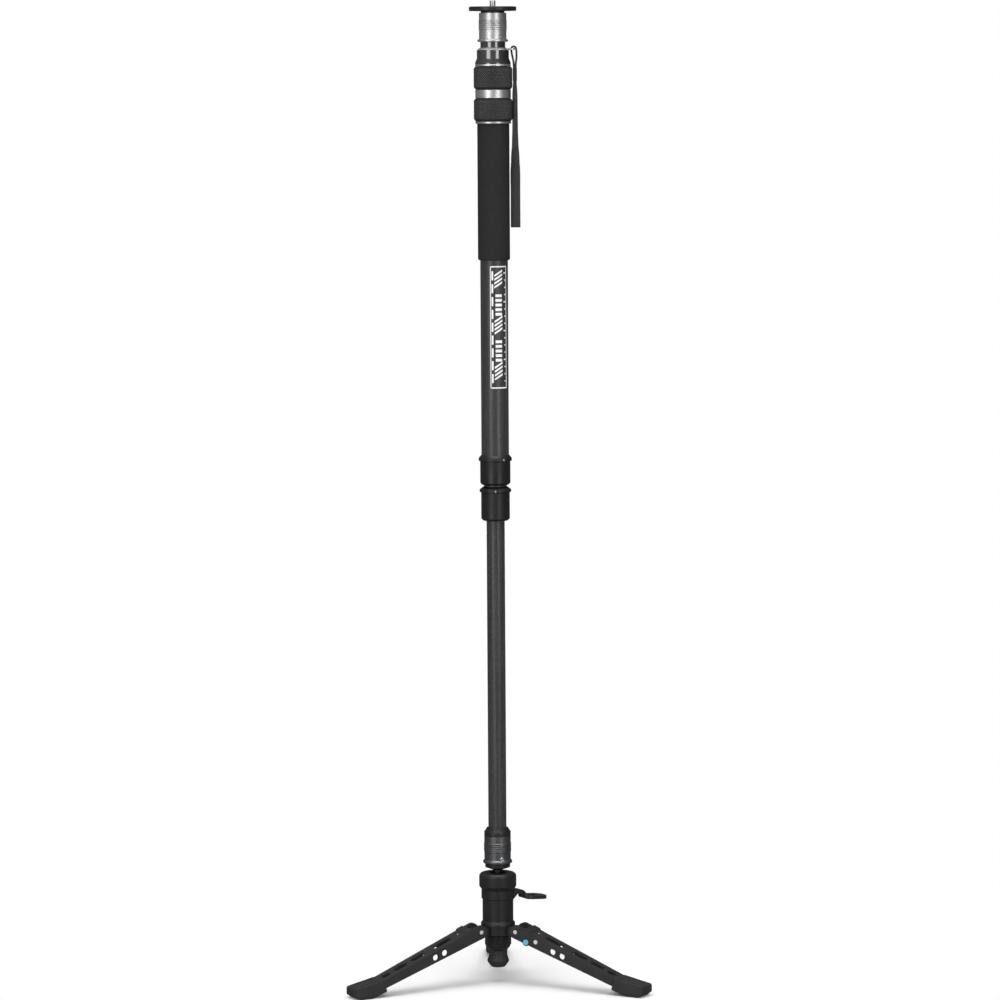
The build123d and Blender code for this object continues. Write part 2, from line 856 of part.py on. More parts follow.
def upper_collar():
    ring = collar(
        upper_collar_radius, upper_collar_bottom, upper_collar_top, middle_tube_radius, upper_tube_radius
    )
    return ring - upper_collar_screw()


def upper_collar_screw():
    return collar_screw(upper_collar_radius, upper_collar_top, upper_collar_screw_bearing)


def lower_collar():
    ring = collar(
        lower_collar_radius, lower_collar_bottom, lower_collar_top, lower_tube_radius, middle_tube_radius
    )
    return ring - lower_collar_screw()


def lower_collar_screw():
    return collar_screw(lower_collar_radius, lower_collar_top, lower_collar_screw_bearing)


# Locks inside the tubes: plugs with rods through them, turned by the two grips
lock_rod_radius = 1.5
lock_rod_orbit = 6.0
lock_tube_radius = 3.4
lock_tube_wall = 1.1
inner_rod_radius = lock_tube_radius - lock_tube_wall - slide_gap
lock_turn = 60
rod_reach = 339.0
lock_groove_depth = 0.7
lock_groove_count = 3
lock_flange_radius = 4.0
lock_flange_height = 2.0
lock_head_top = middle_tube_top + lock_head_height


def turn_slot(low, high):
    """Room for the orbiting rod over the turn of its grip."""
    width = 2 * (lock_rod_radius + free_gap)
    inner = lock_rod_orbit - width / 2
    outline = [(inner, low), (inner + width, low), (inner + width, high), (inner, high)]
    sector = revolve(Plane.XZ * make_face(Polyline(*outline, close=True)), Axis.Z, lock_turn)
    ends = [Rot(Z=angle) * rod(width / 2, low, high, x=lock_rod_orbit) for angle in (0, lock_turn)]
    return sector + ends


def lock_plug(root_radius, head_radius, tube_top):
    """A plug rooted in one tube's top, with a grooved head that grips the tube outside it."""
    low = tube_top - lock_root_height
    high = tube_top + lock_head_height
    bore = lock_tube_radius + slide_gap
    outline = [(bore, low), (root_radius, low), (root_radius, tube_top), (head_radius, tube_top)]
    pitch = lock_head_height / (lock_groove_count + 1)
    for number in range(1, lock_groove_count + 1):
        middle = tube_top + number * pitch
        outline.append((head_radius, middle - lock_groove_depth))
        outline.append((head_radius - lock_groove_depth, middle - lock_groove_depth))
        outline.append((head_radius - lock_groove_depth, middle + lock_groove_depth))
        outline.append((head_radius, middle + lock_groove_depth))
    outline += [(head_radius, high), (bore, high)]
    return turned(*outline) - turn_slot(low - cut_over, high + cut_over)


def upper_lock_plug():
    """Stands on the middle tube and carries the lower lock tube on a ledge."""
    head_radius = upper_tube_radius - tube_wall - slide_gap
    plug = lock_plug(middle_tube_radius - tube_wall, head_radius, middle_tube_top)
    ledge = lock_head_top - lock_flange_height
    return plug - rod(lock_flange_radius + slide_gap, ledge, lock_head_top + cut_over)


def lower_lock_plug():
    """Stands on the lower tube, where the lock tube slides through it."""
    head_radius = middle_tube_radius - tube_wall - slide_gap
    return lock_plug(lower_tube_radius - tube_wall, head_radius, lower_tube_top)


def lower_lock_tube():
    low = lower_tube_top - lock_root_height / 2
    bore = lock_tube_radius - lock_tube_wall
    return turned(
        (bore, low),
        (lock_tube_radius, low),
        (lock_tube_radius, lock_head_top - lock_flange_height),
        (lock_flange_radius, lock_head_top - lock_flange_height),
        (lock_flange_radius, lock_head_top),
        (bore, lock_head_top),
    )


# Handle: a core from the tube's top to the upper sleeve, carrying the rings and the grips
core_radius = 14.6
core_plug_height = 8.0
core_bore_radius = 8.6
core_pillar_width = 8.0
grip_drive_height = 6.0
drive_gap = 0.4


def drive_level(grip_bottom):
    """The span of heights where a grip reaches through the core to its rod."""
    low = grip_bottom + twist_grip_height / 2 - grip_drive_height / 2
    return low, low + grip_drive_height


def drive_windows(grip_bottom):
    """Two windows in the core that let a grip's cross arms turn."""
    low, high = drive_level(grip_bottom)
    ring = rod(core_radius + cut_over, low - drive_gap, high + drive_gap) - rod(
        core_bore_radius, low - cut_over, high + cut_over
    )
    keep = block(-2 * core_radius, 2 * core_radius, core_pillar_width, low - cut_over, high + cut_over)
    return ring - Rot(Z=lock_turn / 2 + 90) * keep


def handle_core():
    plug_radius = upper_tube_radius - tube_wall
    core = turned(
        (core_bore_radius, foam_top - core_plug_height),
        (plug_radius, foam_top - core_plug_height),
        (plug_radius, foam_top),
        (core_radius, foam_top),
        (core_radius, neck_ring_top),
        (stem_radius, neck_ring_top),
        (stem_radius, upper_sleeve_bottom),
        (cup_tube_radius, upper_sleeve_bottom),
        (cup_tube_radius, upper_sleeve_top),
        (spigot_radius + slide_gap, upper_sleeve_top),
        (spigot_radius + slide_gap, upper_sleeve_bottom),
        (core_bore_radius, upper_sleeve_bottom),
    )
    return core - drive_windows(lower_grip_bottom) - drive_windows(upper_grip_bottom)


def ring_on_core(radius, low, high, chamfer):
    """A plain ring round the core with both outer edges broken."""
    return turned(
        (core_radius, low),
        (radius - chamfer, low),
        (radius, low + chamfer),
        (radius, high - chamfer),
        (radius - chamfer, high),
        (core_radius, high),
    )


ring_chamfer = 0.5


def trim_rings():
    lower = ring_on_core(trim_ring_radius, foam_top, lower_grip_bottom, ring_chamfer)
    upper = ring_on_core(trim_ring_radius, upper_grip_top, neck_ring_bottom, ring_chamfer)
    return Compound(children=[lower, upper])


def index_ring():
    return ring_on_core(index_ring_radius, lower_grip_top, upper_grip_bottom, ring_chamfer)


# Neck ring, wider at its foot, and the eyelet ring above it with the lug for the strap
neck_flare_radius = 19.2
neck_flare_height = 6.0
lug_width_at_eye = 7.4
lug_thickness = 2.0
eyelet_hole_radius = 2.1
eyelet_at = 20.0
eyelet_top_radius = 13.8


def neck_ring():
    return turned(
        (core_radius, neck_ring_bottom),
        (neck_flare_radius, neck_ring_bottom),
        (neck_flare_radius, neck_ring_bottom + neck_flare_height / 4),
        (neck_ring_radius, neck_ring_bottom + neck_flare_height),
        (neck_ring_radius, neck_ring_top),
        (core_radius, neck_ring_top),
    )


def eyelet_ring():
    ring = turned(
        (stem_radius, neck_ring_top),
        (neck_ring_radius - ring_chamfer, neck_ring_top),
        (eyelet_top_radius, eyelet_ring_top),
        (stem_radius, eyelet_ring_top),
    )
    lug_top = neck_ring_top + lug_thickness
    lug = block(stem_radius + ring_chamfer, eyelet_at, lug_width_at_eye, neck_ring_top, lug_top)
    lug += rod(lug_width_at_eye / 2, neck_ring_top, lug_top, x=eyelet_at)
    hole = rod(eyelet_hole_radius, neck_ring_top - cut_over, eyelet_ring_top + cut_over, x=eyelet_at)
    return ring + lug - hole


# Foam hand grip round the upper tube
foam_rounding = 1.9


def foam_grip():
    return turned(
        (upper_tube_radius, foam_bottom),
        (foam_radius, foam_bottom, foam_rounding),
        (foam_radius, foam_top),
        (upper_tube_radius, foam_top),
    )


# Twist grips: a rubber-faced ring with a cross bar that drives its lock rod
grip_rounding = 2.4
drive_arm_width = 5.0
drive_hub_radius = 8.2


def twist_grip(bottom, hub_radius):
    """A grip ring with two arms that reach in through the core to a hub on the axis."""
    top = bottom + twist_grip_height
    ring = turned(
        (core_radius + slide_gap, bottom + slide_gap),
        (twist_grip_radius, bottom + slide_gap, grip_rounding),
        (twist_grip_radius, top - slide_gap, grip_rounding),
        (core_radius + slide_gap, top - slide_gap),
    )
    low, high = drive_level(bottom)
    arms = block(-core_radius - ring_chamfer, core_radius + ring_chamfer, drive_arm_width, low, high)
    return ring + arms + rod(hub_radius, low, high)


def lower_twist_grip():
    """Its hub holds the orbiting rod and lets the middle rod pass."""
    grip = twist_grip(lower_grip_bottom, drive_hub_radius)
    low, high = drive_level(lower_grip_bottom)
    grip -= rod(inner_rod_radius + free_gap, low - cut_over, high + cut_over)
    return grip - rod(lock_rod_radius, low - cut_over, high + cut_over, x=lock_rod_orbit)


def upper_twist_grip():
    grip = twist_grip(upper_grip_bottom, drive_hub_radius)
    low, high = drive_level(upper_grip_bottom)
    return grip - rod(inner_rod_radius, low - cut_over, high + cut_over)


def upper_lock_rod():
    low, high = drive_level(lower_grip_bottom)
    return rod(lock_rod_radius, lock_head_top - rod_reach, high, x=lock_rod_orbit)


def lower_lock_rod():
    low, high = drive_level(upper_grip_bottom)
    return rod(inner_rod_radius, lock_head_top - rod_reach, high)


# Upper quick release and the plate that the camera or head stands on
upper_rim_radius = 16.7
upper_rim_height = 2.2
upper_screw_radius = 1.7
sleeve_screw_bearing = -57
upper_screw_rise = 5.3
upper_screw_height = upper_sleeve_bottom + upper_screw_rise
plate_neck_radius = 12.9
plate_edge = 0.8
spigot_foot_gap = 1.0
upper_spigot_low = upper_sleeve_bottom + spigot_foot_gap
stud_root = plate_bottom + plate_height / 4
stud_root_radius = 3.5


def upper_sleeve_screw():
    reach = upper_sleeve_radius + screw_proud
    return radial_screw(
        upper_screw_radius, reach, sleeve_screw_depth, upper_screw_height, sleeve_screw_bearing
    )


def upper_sleeve():
    body = sleeve(
        upper_sleeve_radius, upper_sleeve_bottom, upper_sleeve_top, cup_tube_radius, stem_radius,
        upper_rim_radius, upper_rim_height,
    )
    return body - upper_sleeve_screw()


def upper_sleeve_spring():
    radius = (cup_tube_radius + stem_radius) / 2
    high = spring_shoulder(upper_sleeve_bottom, upper_sleeve_top)
    return spring(radius, sleeve_spring_wire, upper_sleeve_bottom, high, sleeve_spring_turns)


def top_plate():
    plate = turned(
        (0, upper_spigot_low),
        (spigot_radius, upper_spigot_low),
        (spigot_radius, upper_sleeve_top),
        (plate_neck_radius, upper_sleeve_top),
        (plate_neck_radius, plate_bottom),
        (plate_radius - plate_edge, plate_bottom),
        (plate_radius, plate_bottom + plate_edge),
        (plate_radius, plate_top - plate_edge),
        (plate_radius - plate_edge, plate_top),
        (0, plate_top),
    )
    return plate - rod(stud_root_radius, stud_root, plate_top + cut_over)


def camera_stud():
    return rod(stud_root_radius, stud_root, plate_top) + rod(stud_radius, plate_top, stud_top)


# Wrist strap: a cord through the eyelet, a stitched tab, and a webbing loop that turns to face the front
strap_cord_radius = 1.1
strap_cord_route = [
    (22.6, 0, 1000.5),
    (22.6, 0, 1005.4),
    (20.0, 0, 1016.4),
    (20.0, 0, 1022.5),
    (25.2, 0, 1022.5),
    (25.2, 0, 1009.9),
    (24.6, 0, 1004.9),
    (24.6, 0, 1000.5),
]
run_share = 0.45
strap_at = 23.6
strap_top = strap_cord_route[0][2]
tab_height = 15.0
tab_width = 11.5
tab_thickness = 4.2
tab_rounding = 0.8
webbing_width = 10.6
webbing_thickness = 3.6
webbing_length = 158.0
webbing_turn_shares = ((0.0, 0), (0.33, 0), (0.42, 15), (0.54, 45), (0.66, 75), (0.76, 90), (1.0, 90))


def bend_radii(points):
    """The largest tangent arc that the two runs at each corner allow."""
    corners = [Vector(*point) for point in points]
    radii = []
    for before, at, after in zip(corners, corners[1:], corners[2:]):
        turn = (at - before).get_angle(after - at)
        run = min((at - before).length, (after - at).length)
        radii.append(run_share * run / math.tan(math.radians(turn / 2)))
    return radii


def strap_cord():
    radii = bend_radii(strap_cord_route)
    path = FilletPolyline(*strap_cord_route, radius=radii)
    cord = sweep(Plane(path ^ 0) * Circle(strap_cord_radius), path)
    section = math.pi * strap_cord_radius**2
    print("strap cord radii", [round(radius, 1) for radius in radii])
    print("strap cord length", path.length, "volume share", cord.volume / (section * path.length))
    return cord


def strap_tab():
    tab = Pos(strap_at, 0, strap_top - tab_height / 2) * Box(tab_thickness, tab_width, tab_height)
    return fillet(tab.edges().filter_by(Axis.Z), tab_rounding)


def strap_webbing():
    top = strap_top - tab_height
    sections = []
    for share, turn in webbing_turn_shares:
        place = Pos(strap_at, 0, top - share * webbing_length) * Rot(Z=turn)
        sections.append(place * Rectangle(webbing_thickness, webbing_width))
    return loft(sections, ruled=True)


def build():
    """Makes every sub-part and writes it under its own name."""
    whole = [
        centre_foot, centre_stem, hub_nut, leg_hub, hinge_pins, base_body, pedal_pin, band_ring,
        bell_cap, ball_seat, swivel_race, brake_piston, brake_spring, foot_pedal, ball_stem,
        lower_cup, lower_sleeve, lower_sleeve_screw, lower_sleeve_spring, cap_ring, lower_tube,
        middle_tube, upper_tube, lower_collar, lower_collar_screw, upper_collar,
        upper_collar_screw, lower_lock_plug, upper_lock_plug, lower_lock_tube, lower_lock_rod,
        upper_lock_rod, foam_grip, handle_core, trim_rings, index_ring, lower_twist_grip,
        upper_twist_grip, neck_ring, eyelet_ring, upper_sleeve, upper_sleeve_screw,
        upper_sleeve_spring, top_plate, camera_stud, strap_cord, strap_tab, strap_webbing,
    ]
    for make in whole:
        save(make(), make.__name__)
    for side, bearing in leg_bearings.items():
        for make in (leg, leg_foot, leg_button, leg_screws):
            save(make(bearing), f"{side}_{make.__name__}")


os.makedirs("parts", exist_ok=True)
build()
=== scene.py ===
import json
import math

import bmesh
import bpy
from mathutils import Matrix, Vector

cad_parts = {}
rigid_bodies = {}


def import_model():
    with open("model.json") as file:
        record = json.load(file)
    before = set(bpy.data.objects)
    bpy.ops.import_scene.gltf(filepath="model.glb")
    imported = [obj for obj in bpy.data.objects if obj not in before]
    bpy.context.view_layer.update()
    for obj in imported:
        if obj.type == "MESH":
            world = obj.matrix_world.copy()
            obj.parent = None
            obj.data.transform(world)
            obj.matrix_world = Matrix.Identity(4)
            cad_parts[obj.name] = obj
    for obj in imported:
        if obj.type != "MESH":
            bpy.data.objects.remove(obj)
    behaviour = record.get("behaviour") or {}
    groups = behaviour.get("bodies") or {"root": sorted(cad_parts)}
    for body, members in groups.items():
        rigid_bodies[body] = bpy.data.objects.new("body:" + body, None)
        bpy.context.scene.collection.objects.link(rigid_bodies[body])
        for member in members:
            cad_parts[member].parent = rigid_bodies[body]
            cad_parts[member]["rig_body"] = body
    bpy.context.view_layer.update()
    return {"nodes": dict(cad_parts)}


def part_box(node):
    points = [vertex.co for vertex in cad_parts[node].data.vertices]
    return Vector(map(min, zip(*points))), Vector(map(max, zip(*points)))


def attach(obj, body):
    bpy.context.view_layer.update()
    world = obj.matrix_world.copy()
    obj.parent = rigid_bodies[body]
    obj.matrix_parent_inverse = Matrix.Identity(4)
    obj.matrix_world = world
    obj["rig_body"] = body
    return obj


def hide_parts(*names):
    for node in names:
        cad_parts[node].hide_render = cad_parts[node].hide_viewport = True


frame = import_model()


# Black enamelled castings: base body, band ring, bell cap, hub and nut, cup, cap ring, plate.
# They are die-cast and turned aluminium with a baked enamel that has a fine orange-peel skin.
# Every edge is broken, so a softened copy of each piece shows in place of the plain solid.
def enamel(name, colour, roughness, grain=900.0, bump=0.06, metallic=0.35, coat=0.0):
    """A sprayed or anodised skin with slight mottling and a fine grain."""
    mottle_scale, darker, lighter = 55.0, 0.82, 1.2
    gloss_swing, least_roughness = 0.07, 0.04
    peel_depth = 0.0004
    material = bpy.data.materials.new(name)
    material.use_nodes = True
    nodes, links = material.node_tree.nodes, material.node_tree.links
    shader = nodes["Principled BSDF"]
    place = nodes.new("ShaderNodeTexCoord")
    mottle = nodes.new("ShaderNodeTexNoise")
    mottle.inputs["Scale"].default_value = mottle_scale
    mottle.inputs["Detail"].default_value = 6.0
    peel = nodes.new("ShaderNodeTexNoise")
    peel.inputs["Scale"].default_value = grain
    peel.inputs["Detail"].default_value = 3.0
    tint = nodes.new("ShaderNodeMixRGB")
    tint.inputs["Color1"].default_value = (*[c * darker for c in colour], 1)
    tint.inputs["Color2"].default_value = (*[min(1, c * lighter) for c in colour], 1)
    spread = nodes.new("ShaderNodeMapRange")
    spread.inputs["From Min"].default_value = 0.3
    spread.inputs["From Max"].default_value = 0.7
    spread.inputs["To Min"].default_value = max(least_roughness, roughness - gloss_swing)
    spread.inputs["To Max"].default_value = roughness + gloss_swing
    relief = nodes.new("ShaderNodeBump")
    relief.inputs["Strength"].default_value = bump
    relief.inputs["Distance"].default_value = peel_depth
    links.new(place.outputs["Object"], mottle.inputs["Vector"])
    links.new(place.outputs["Object"], peel.inputs["Vector"])
    links.new(mottle.outputs["Fac"], tint.inputs["Fac"])
    links.new(mottle.outputs["Fac"], spread.inputs["Value"])
    links.new(peel.outputs["Fac"], relief.inputs["Height"])
    links.new(tint.outputs["Color"], shader.inputs["Base Color"])
    links.new(spread.outputs["Result"], shader.inputs["Roughness"])
    links.new(relief.outputs["Normal"], shader.inputs["Normal"])
    shader.inputs["Metallic"].default_value = metallic
    shader.inputs["Coat Weight"].default_value = coat
    shader.inputs["Coat Roughness"].default_value = 0.08
    return material


def dress(node, material):
    """Gives a solid of the frame its finish."""
    piece = frame["nodes"][node]
    piece.data.materials.clear()
    piece.data.materials.append(material)
    return piece


def softened(node, material, edge=0.00035, segments=2):
    """A copy of a solid with all its sharp edges broken, shown in the solid's place."""
    same_point = 1e-6
    flat_turn, edge_turn, crease_turn = (math.radians(turn) for turn in (0.5, 38, 32))
    source = frame["nodes"][node]
    piece = bpy.data.objects.new(f"{node}_finished", source.data.copy())
    bpy.context.scene.collection.objects.link(piece)
    shape = bmesh.new()
    shape.from_mesh(piece.data)
    bmesh.ops.remove_doubles(shape, verts=shape.verts, dist=same_point)
    bmesh.ops.dissolve_limit(
        shape, angle_limit=flat_turn, verts=shape.verts, edges=shape.edges
    )
    shape.to_mesh(piece.data)
    shape.free()
    broken = piece.modifiers.new("broken edges", "BEVEL")
    broken.width = edge
    broken.segments = segments
    broken.limit_method = "ANGLE"
    broken.angle_limit = edge_turn
    broken.use_clamp_overlap = True
    made = bpy.data.meshes.new_from_object(
        piece.evaluated_get(bpy.context.evaluated_depsgraph_get())
    )
    piece.modifiers.clear()
    piece.data = made
    made.materials.clear()
    made.materials.append(material)
    made.shade_smooth()
    made.set_sharp_from_angle(angle=crease_turn)
    evened = piece.modifiers.new("shading by the large faces", "WEIGHTED_NORMAL")
    evened.keep_sharp = True
    piece.data = bpy.data.meshes.new_from_object(
        piece.evaluated_get(bpy.context.evaluated_depsgraph_get())
    )
    piece.modifiers.clear()
    bpy.data.meshes.remove(made)
    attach(piece, source["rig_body"])
    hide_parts(node)
    return piece


black_enamel = enamel("black_enamel", (0.010, 0.010, 0.0115), 0.44, metallic=0.1, coat=0.06)
for node in ("base_body", "band_ring", "bell_cap", "leg_hub", "lower_cup", "cap_ring"):
    softened(node, black_enamel)
softened("top_plate", black_enamel)
softened("hub_nut", enamel("hub_nut_enamel", (0.016, 0.016, 0.0175), 0.3, coat=0.3))


# Turned steel: the ball and its stem, the pedal's pin, the piston, the centre stem and the
# lock rods. They are lathe-turned from bar, so fine rings run round the axis. The springs
# are drawn wire of a darker steel. The ball's stem shows only in the narrow gap under the cup,
# and it is coloured near-black as painted shade for that gap.
def turned_metal(name, colour, roughness, pitch=2600.0, bump=0.05):
    """Bare or anodised metal with the fine rings that a lathe leaves."""
    grain_scale, darker, lighter, gloss_swing = 60.0, 0.86, 1.1, 0.08
    ring_depth = 0.0002
    material = bpy.data.materials.new(name)
    material.use_nodes = True
    nodes, links = material.node_tree.nodes, material.node_tree.links
    shader = nodes["Principled BSDF"]
    place = nodes.new("ShaderNodeTexCoord")
    stretch = nodes.new("ShaderNodeMapping")
    stretch.inputs["Scale"].default_value = (1.0, 1.0, pitch / grain_scale)
    rings = nodes.new("ShaderNodeTexNoise")
    rings.inputs["Scale"].default_value = grain_scale
    rings.inputs["Detail"].default_value = 5.0
    tint = nodes.new("ShaderNodeMixRGB")
    tint.inputs["Color1"].default_value = (*[c * darker for c in colour], 1)
    tint.inputs["Color2"].default_value = (*[min(1, c * lighter) for c in colour], 1)
    spread = nodes.new("ShaderNodeMapRange")
    spread.inputs["To Min"].default_value = roughness - gloss_swing
    spread.inputs["To Max"].default_value = roughness + gloss_swing
    relief = nodes.new("ShaderNodeBump")
    relief.inputs["Strength"].default_value = bump
    relief.inputs["Distance"].default_value = ring_depth
    links.new(place.outputs["Object"], stretch.inputs["Vector"])
    links.new(stretch.outputs["Vector"], rings.inputs["Vector"])
    links.new(rings.outputs["Fac"], tint.inputs["Fac"])
    links.new(rings.outputs["Fac"], spread.inputs["Value"])
    links.new(rings.outputs["Fac"], relief.inputs["Height"])
    links.new(tint.outputs["Color"], shader.inputs["Base Color"])
    links.new(spread.outputs["Result"], shader.inputs["Roughness"])
    links.new(relief.outputs["Normal"], shader.inputs["Normal"])
    shader.inputs["Metallic"].default_value = 1.0
    return material


turned_steel = turned_metal("turned_steel", (0.5, 0.5, 0.51), 0.3)
for node in ("brake_piston", "pedal_pin", "centre_stem", "lower_lock_rod", "upper_lock_rod"):
    dress(node, turned_steel)
# Painted shade: the stem's steel is coloured near-black so the gap between cup and bell reads dark.
gap_shade_steel = turned_metal("gap_shade_steel", (0.055, 0.055, 0.057), 0.32)
softened("ball_stem", gap_shade_steel, edge=0.0002)
spring_wire = turned_metal("spring_wire", (0.34, 0.34, 0.36), 0.32)
for node in ("brake_spring", "lower_sleeve_spring", "upper_sleeve_spring"):
    dress(node, spring_wire)


# Pale bearing rings under and over the ball: machined from white bearing plastic,
# pressed into the base's bore, where only their edges can be seen past the stem.
bearing_white = enamel("bearing_white", (0.62, 0.62, 0.6), 0.45, metallic=0.0)
for node in ("ball_seat", "swivel_race"):
    dress(node, bearing_white)


# Rubber foot under the centre stem and the boots of the three legs.
# All are moulded black rubber with a fine matt grain, pushed on and glued.
moulded_rubber = enamel(
    "moulded_rubber", (0.020, 0.020, 0.021), 0.66, grain=1500.0, bump=0.2, metallic=0.0
)
softened("centre_foot", moulded_rubber, edge=0.0006, segments=3)
for side in ("right", "rear", "left"):
    softened(f"{side}_leg_foot", moulded_rubber, edge=0.0009, segments=3)


# Legs: die-cast channels with slotted tops, linished lengthwise before the enamel, so faint
# streaks run from the hinge to the foot. Zinc-plated pins and screws hold each leg to the
# hub, and its lock button is moulded in blue plastic.
def leg_enamel(name, bearing):
    """Black enamel over lengthwise brushing that follows one leg."""
    along_scale, across_scale, upward_scale = 18, 2200, 700
    brush_strength, brush_depth = 0.16, 0.0003
    material = enamel(name, (0.028, 0.028, 0.030), 0.4, metallic=0.2, coat=0.12)
    nodes, links = material.node_tree.nodes, material.node_tree.links
    shader = nodes["Principled BSDF"]
    place = nodes.new("ShaderNodeTexCoord")
    turn = nodes.new("ShaderNodeMapping")
    turn.vector_type = "POINT"
    turn.inputs["Rotation"].default_value = (0, 0, -math.radians(bearing))
    stretch = nodes.new("ShaderNodeMapping")
    stretch.inputs["Scale"].default_value = (along_scale, across_scale, upward_scale)
    streaks = nodes.new("ShaderNodeTexNoise")
    streaks.inputs["Scale"].default_value = 1.0
    streaks.inputs["Detail"].default_value = 3.0
    relief = nodes.new("ShaderNodeBump")
    relief.inputs["Strength"].default_value = brush_strength
    relief.inputs["Distance"].default_value = brush_depth
    links.new(place.outputs["Object"], turn.inputs["Vector"])
    links.new(turn.outputs["Vector"], stretch.inputs["Vector"])
    links.new(stretch.outputs["Vector"], streaks.inputs["Vector"])
    links.new(streaks.outputs["Fac"], relief.inputs["Height"])
    links.new(relief.outputs["Normal"], shader.inputs["Normal"])
    return material


leg_bearings = {"right": -30, "rear": 90, "left": 210}
button_blue = enamel("button_blue", (0.10, 0.42, 0.66), 0.3, metallic=0.0, coat=0.3)
zinc_plate = enamel("zinc_plate", (0.60, 0.60, 0.61), 0.5, metallic=0.25)
dress("hinge_pins", zinc_plate)
for side, bearing in leg_bearings.items():
    side_enamel = leg_enamel(f"{side}_leg_enamel", bearing)
    softened(f"{side}_leg", side_enamel, edge=0.0005)
    softened(f"{side}_leg_button", button_blue, edge=0.0005, segments=3)
    dress(f"{side}_leg_screws", zinc_plate)


# Foot pedal: a bent metal strip with an oval hole, blasted with beads and finished dark
# grey. It hinges on a pin in the base body, and its toe lifts the brake piston.
pedal_grey = turned_metal("pedal_grey", (0.10, 0.10, 0.105), 0.4, pitch=300.0)
softened("foot_pedal", pedal_grey, edge=0.0006, segments=3)


# Quick-release sleeves: turned aluminium, the lower one anodised grey and the upper one
# silver, each slid over a cup and pulled down to free the pole or the plate.
sleeve_grey = turned_metal("sleeve_grey", (0.19, 0.193, 0.20), 0.4, bump=0.12)
softened("lower_sleeve", sleeve_grey, edge=0.00012)
satin_silver = turned_metal("satin_silver", (0.66, 0.66, 0.67), 0.4, bump=0.1)
softened("upper_sleeve", satin_silver, edge=0.00012)
for node in ("trim_rings", "index_ring", "eyelet_ring", "camera_stud"):
    softened(node, satin_silver, edge=0.0002)
dress("lower_lock_tube", satin_silver)


# Tubes: wound carbon fibre under clear coat. The fibres run lengthwise, so the surface
# shows dark and light streaks down its length and a crossed weave when seen close.
def wound_carbon(name):
    """Lengthwise fibre streaks with a faint crossed tow under a clear coat."""
    fibre_scale, fibre_stretch = 900, 9
    tow_scale, tow_rise, tow_share = 260, 420, 0.3
    dark_fibre, light_fibre = (0.017, 0.017, 0.018, 1), (0.050, 0.051, 0.054, 1)
    material = bpy.data.materials.new(name)
    material.use_nodes = True
    nodes, links = material.node_tree.nodes, material.node_tree.links
    shader = nodes["Principled BSDF"]
    place = nodes.new("ShaderNodeTexCoord")
    along = nodes.new("ShaderNodeMapping")
    along.inputs["Scale"].default_value = (fibre_scale, fibre_scale, fibre_stretch)
    streaks = nodes.new("ShaderNodeTexNoise")
    streaks.inputs["Scale"].default_value = 1.0
    streaks.inputs["Detail"].default_value = 4.0
    around = nodes.new("ShaderNodeMapping")
    around.inputs["Scale"].default_value = (tow_scale, tow_scale, tow_rise)
    tows = nodes.new("ShaderNodeTexNoise")
    tows.inputs["Scale"].default_value = 1.0
    tows.inputs["Detail"].default_value = 1.0
    both = nodes.new("ShaderNodeMath")
    both.operation = "MULTIPLY_ADD"
    both.inputs[1].default_value = tow_share
    ramp = nodes.new("ShaderNodeValToRGB")
    ramp.color_ramp.elements[0].position = 0.42
    ramp.color_ramp.elements[0].color = dark_fibre
    ramp.color_ramp.elements[1].position = 0.86
    ramp.color_ramp.elements[1].color = light_fibre
    relief = nodes.new("ShaderNodeBump")
    relief.inputs["Strength"].default_value = 0.06
    relief.inputs["Distance"].default_value = 0.0002
    links.new(place.outputs["Object"], along.inputs["Vector"])
    links.new(along.outputs["Vector"], streaks.inputs["Vector"])
    links.new(place.outputs["Object"], around.inputs["Vector"])
    links.new(around.outputs["Vector"], tows.inputs["Vector"])
    links.new(tows.outputs["Fac"], both.inputs[0])
    links.new(streaks.outputs["Fac"], both.inputs[2])
    links.new(both.outputs["Value"], ramp.inputs["Fac"])
    links.new(ramp.outputs["Color"], shader.inputs["Base Color"])
    links.new(streaks.outputs["Fac"], relief.inputs["Height"])
    links.new(relief.outputs["Normal"], shader.inputs["Normal"])
    shader.inputs["Roughness"].default_value = 0.42
    shader.inputs["Metallic"].default_value = 0.2
    shader.inputs["Coat Weight"].default_value = 0.3
    shader.inputs["Coat Roughness"].default_value = 0.28
    return material


carbon = wound_carbon("wound_carbon")
for node in ("lower_tube", "middle_tube", "upper_tube"):
    dress(node, carbon)


# Collars and handle core: turned aluminium, anodised black and bonded to the tubes. The core
# and its neck ring are polished first, so they mirror the lights; the collars are satin.
# The lock plugs inside the tubes are moulded from glass-filled nylon.
gloss_black = enamel("gloss_black", (0.18, 0.18, 0.185), 0.13, bump=0.01, metallic=1.0)
softened("handle_core", gloss_black, edge=0.0003)
softened("neck_ring", gloss_black, edge=0.0003)
satin_black = enamel("satin_black", (0.008, 0.008, 0.009), 0.42, bump=0.03, metallic=0.1)
for node in ("lower_collar", "upper_collar"):
    softened(node, satin_black, edge=0.0003)
filled_nylon = enamel("filled_nylon", (0.03, 0.03, 0.032), 0.55, bump=0.15, metallic=0.0)
for node in ("lower_lock_plug", "upper_lock_plug"):
    dress(node, filled_nylon)


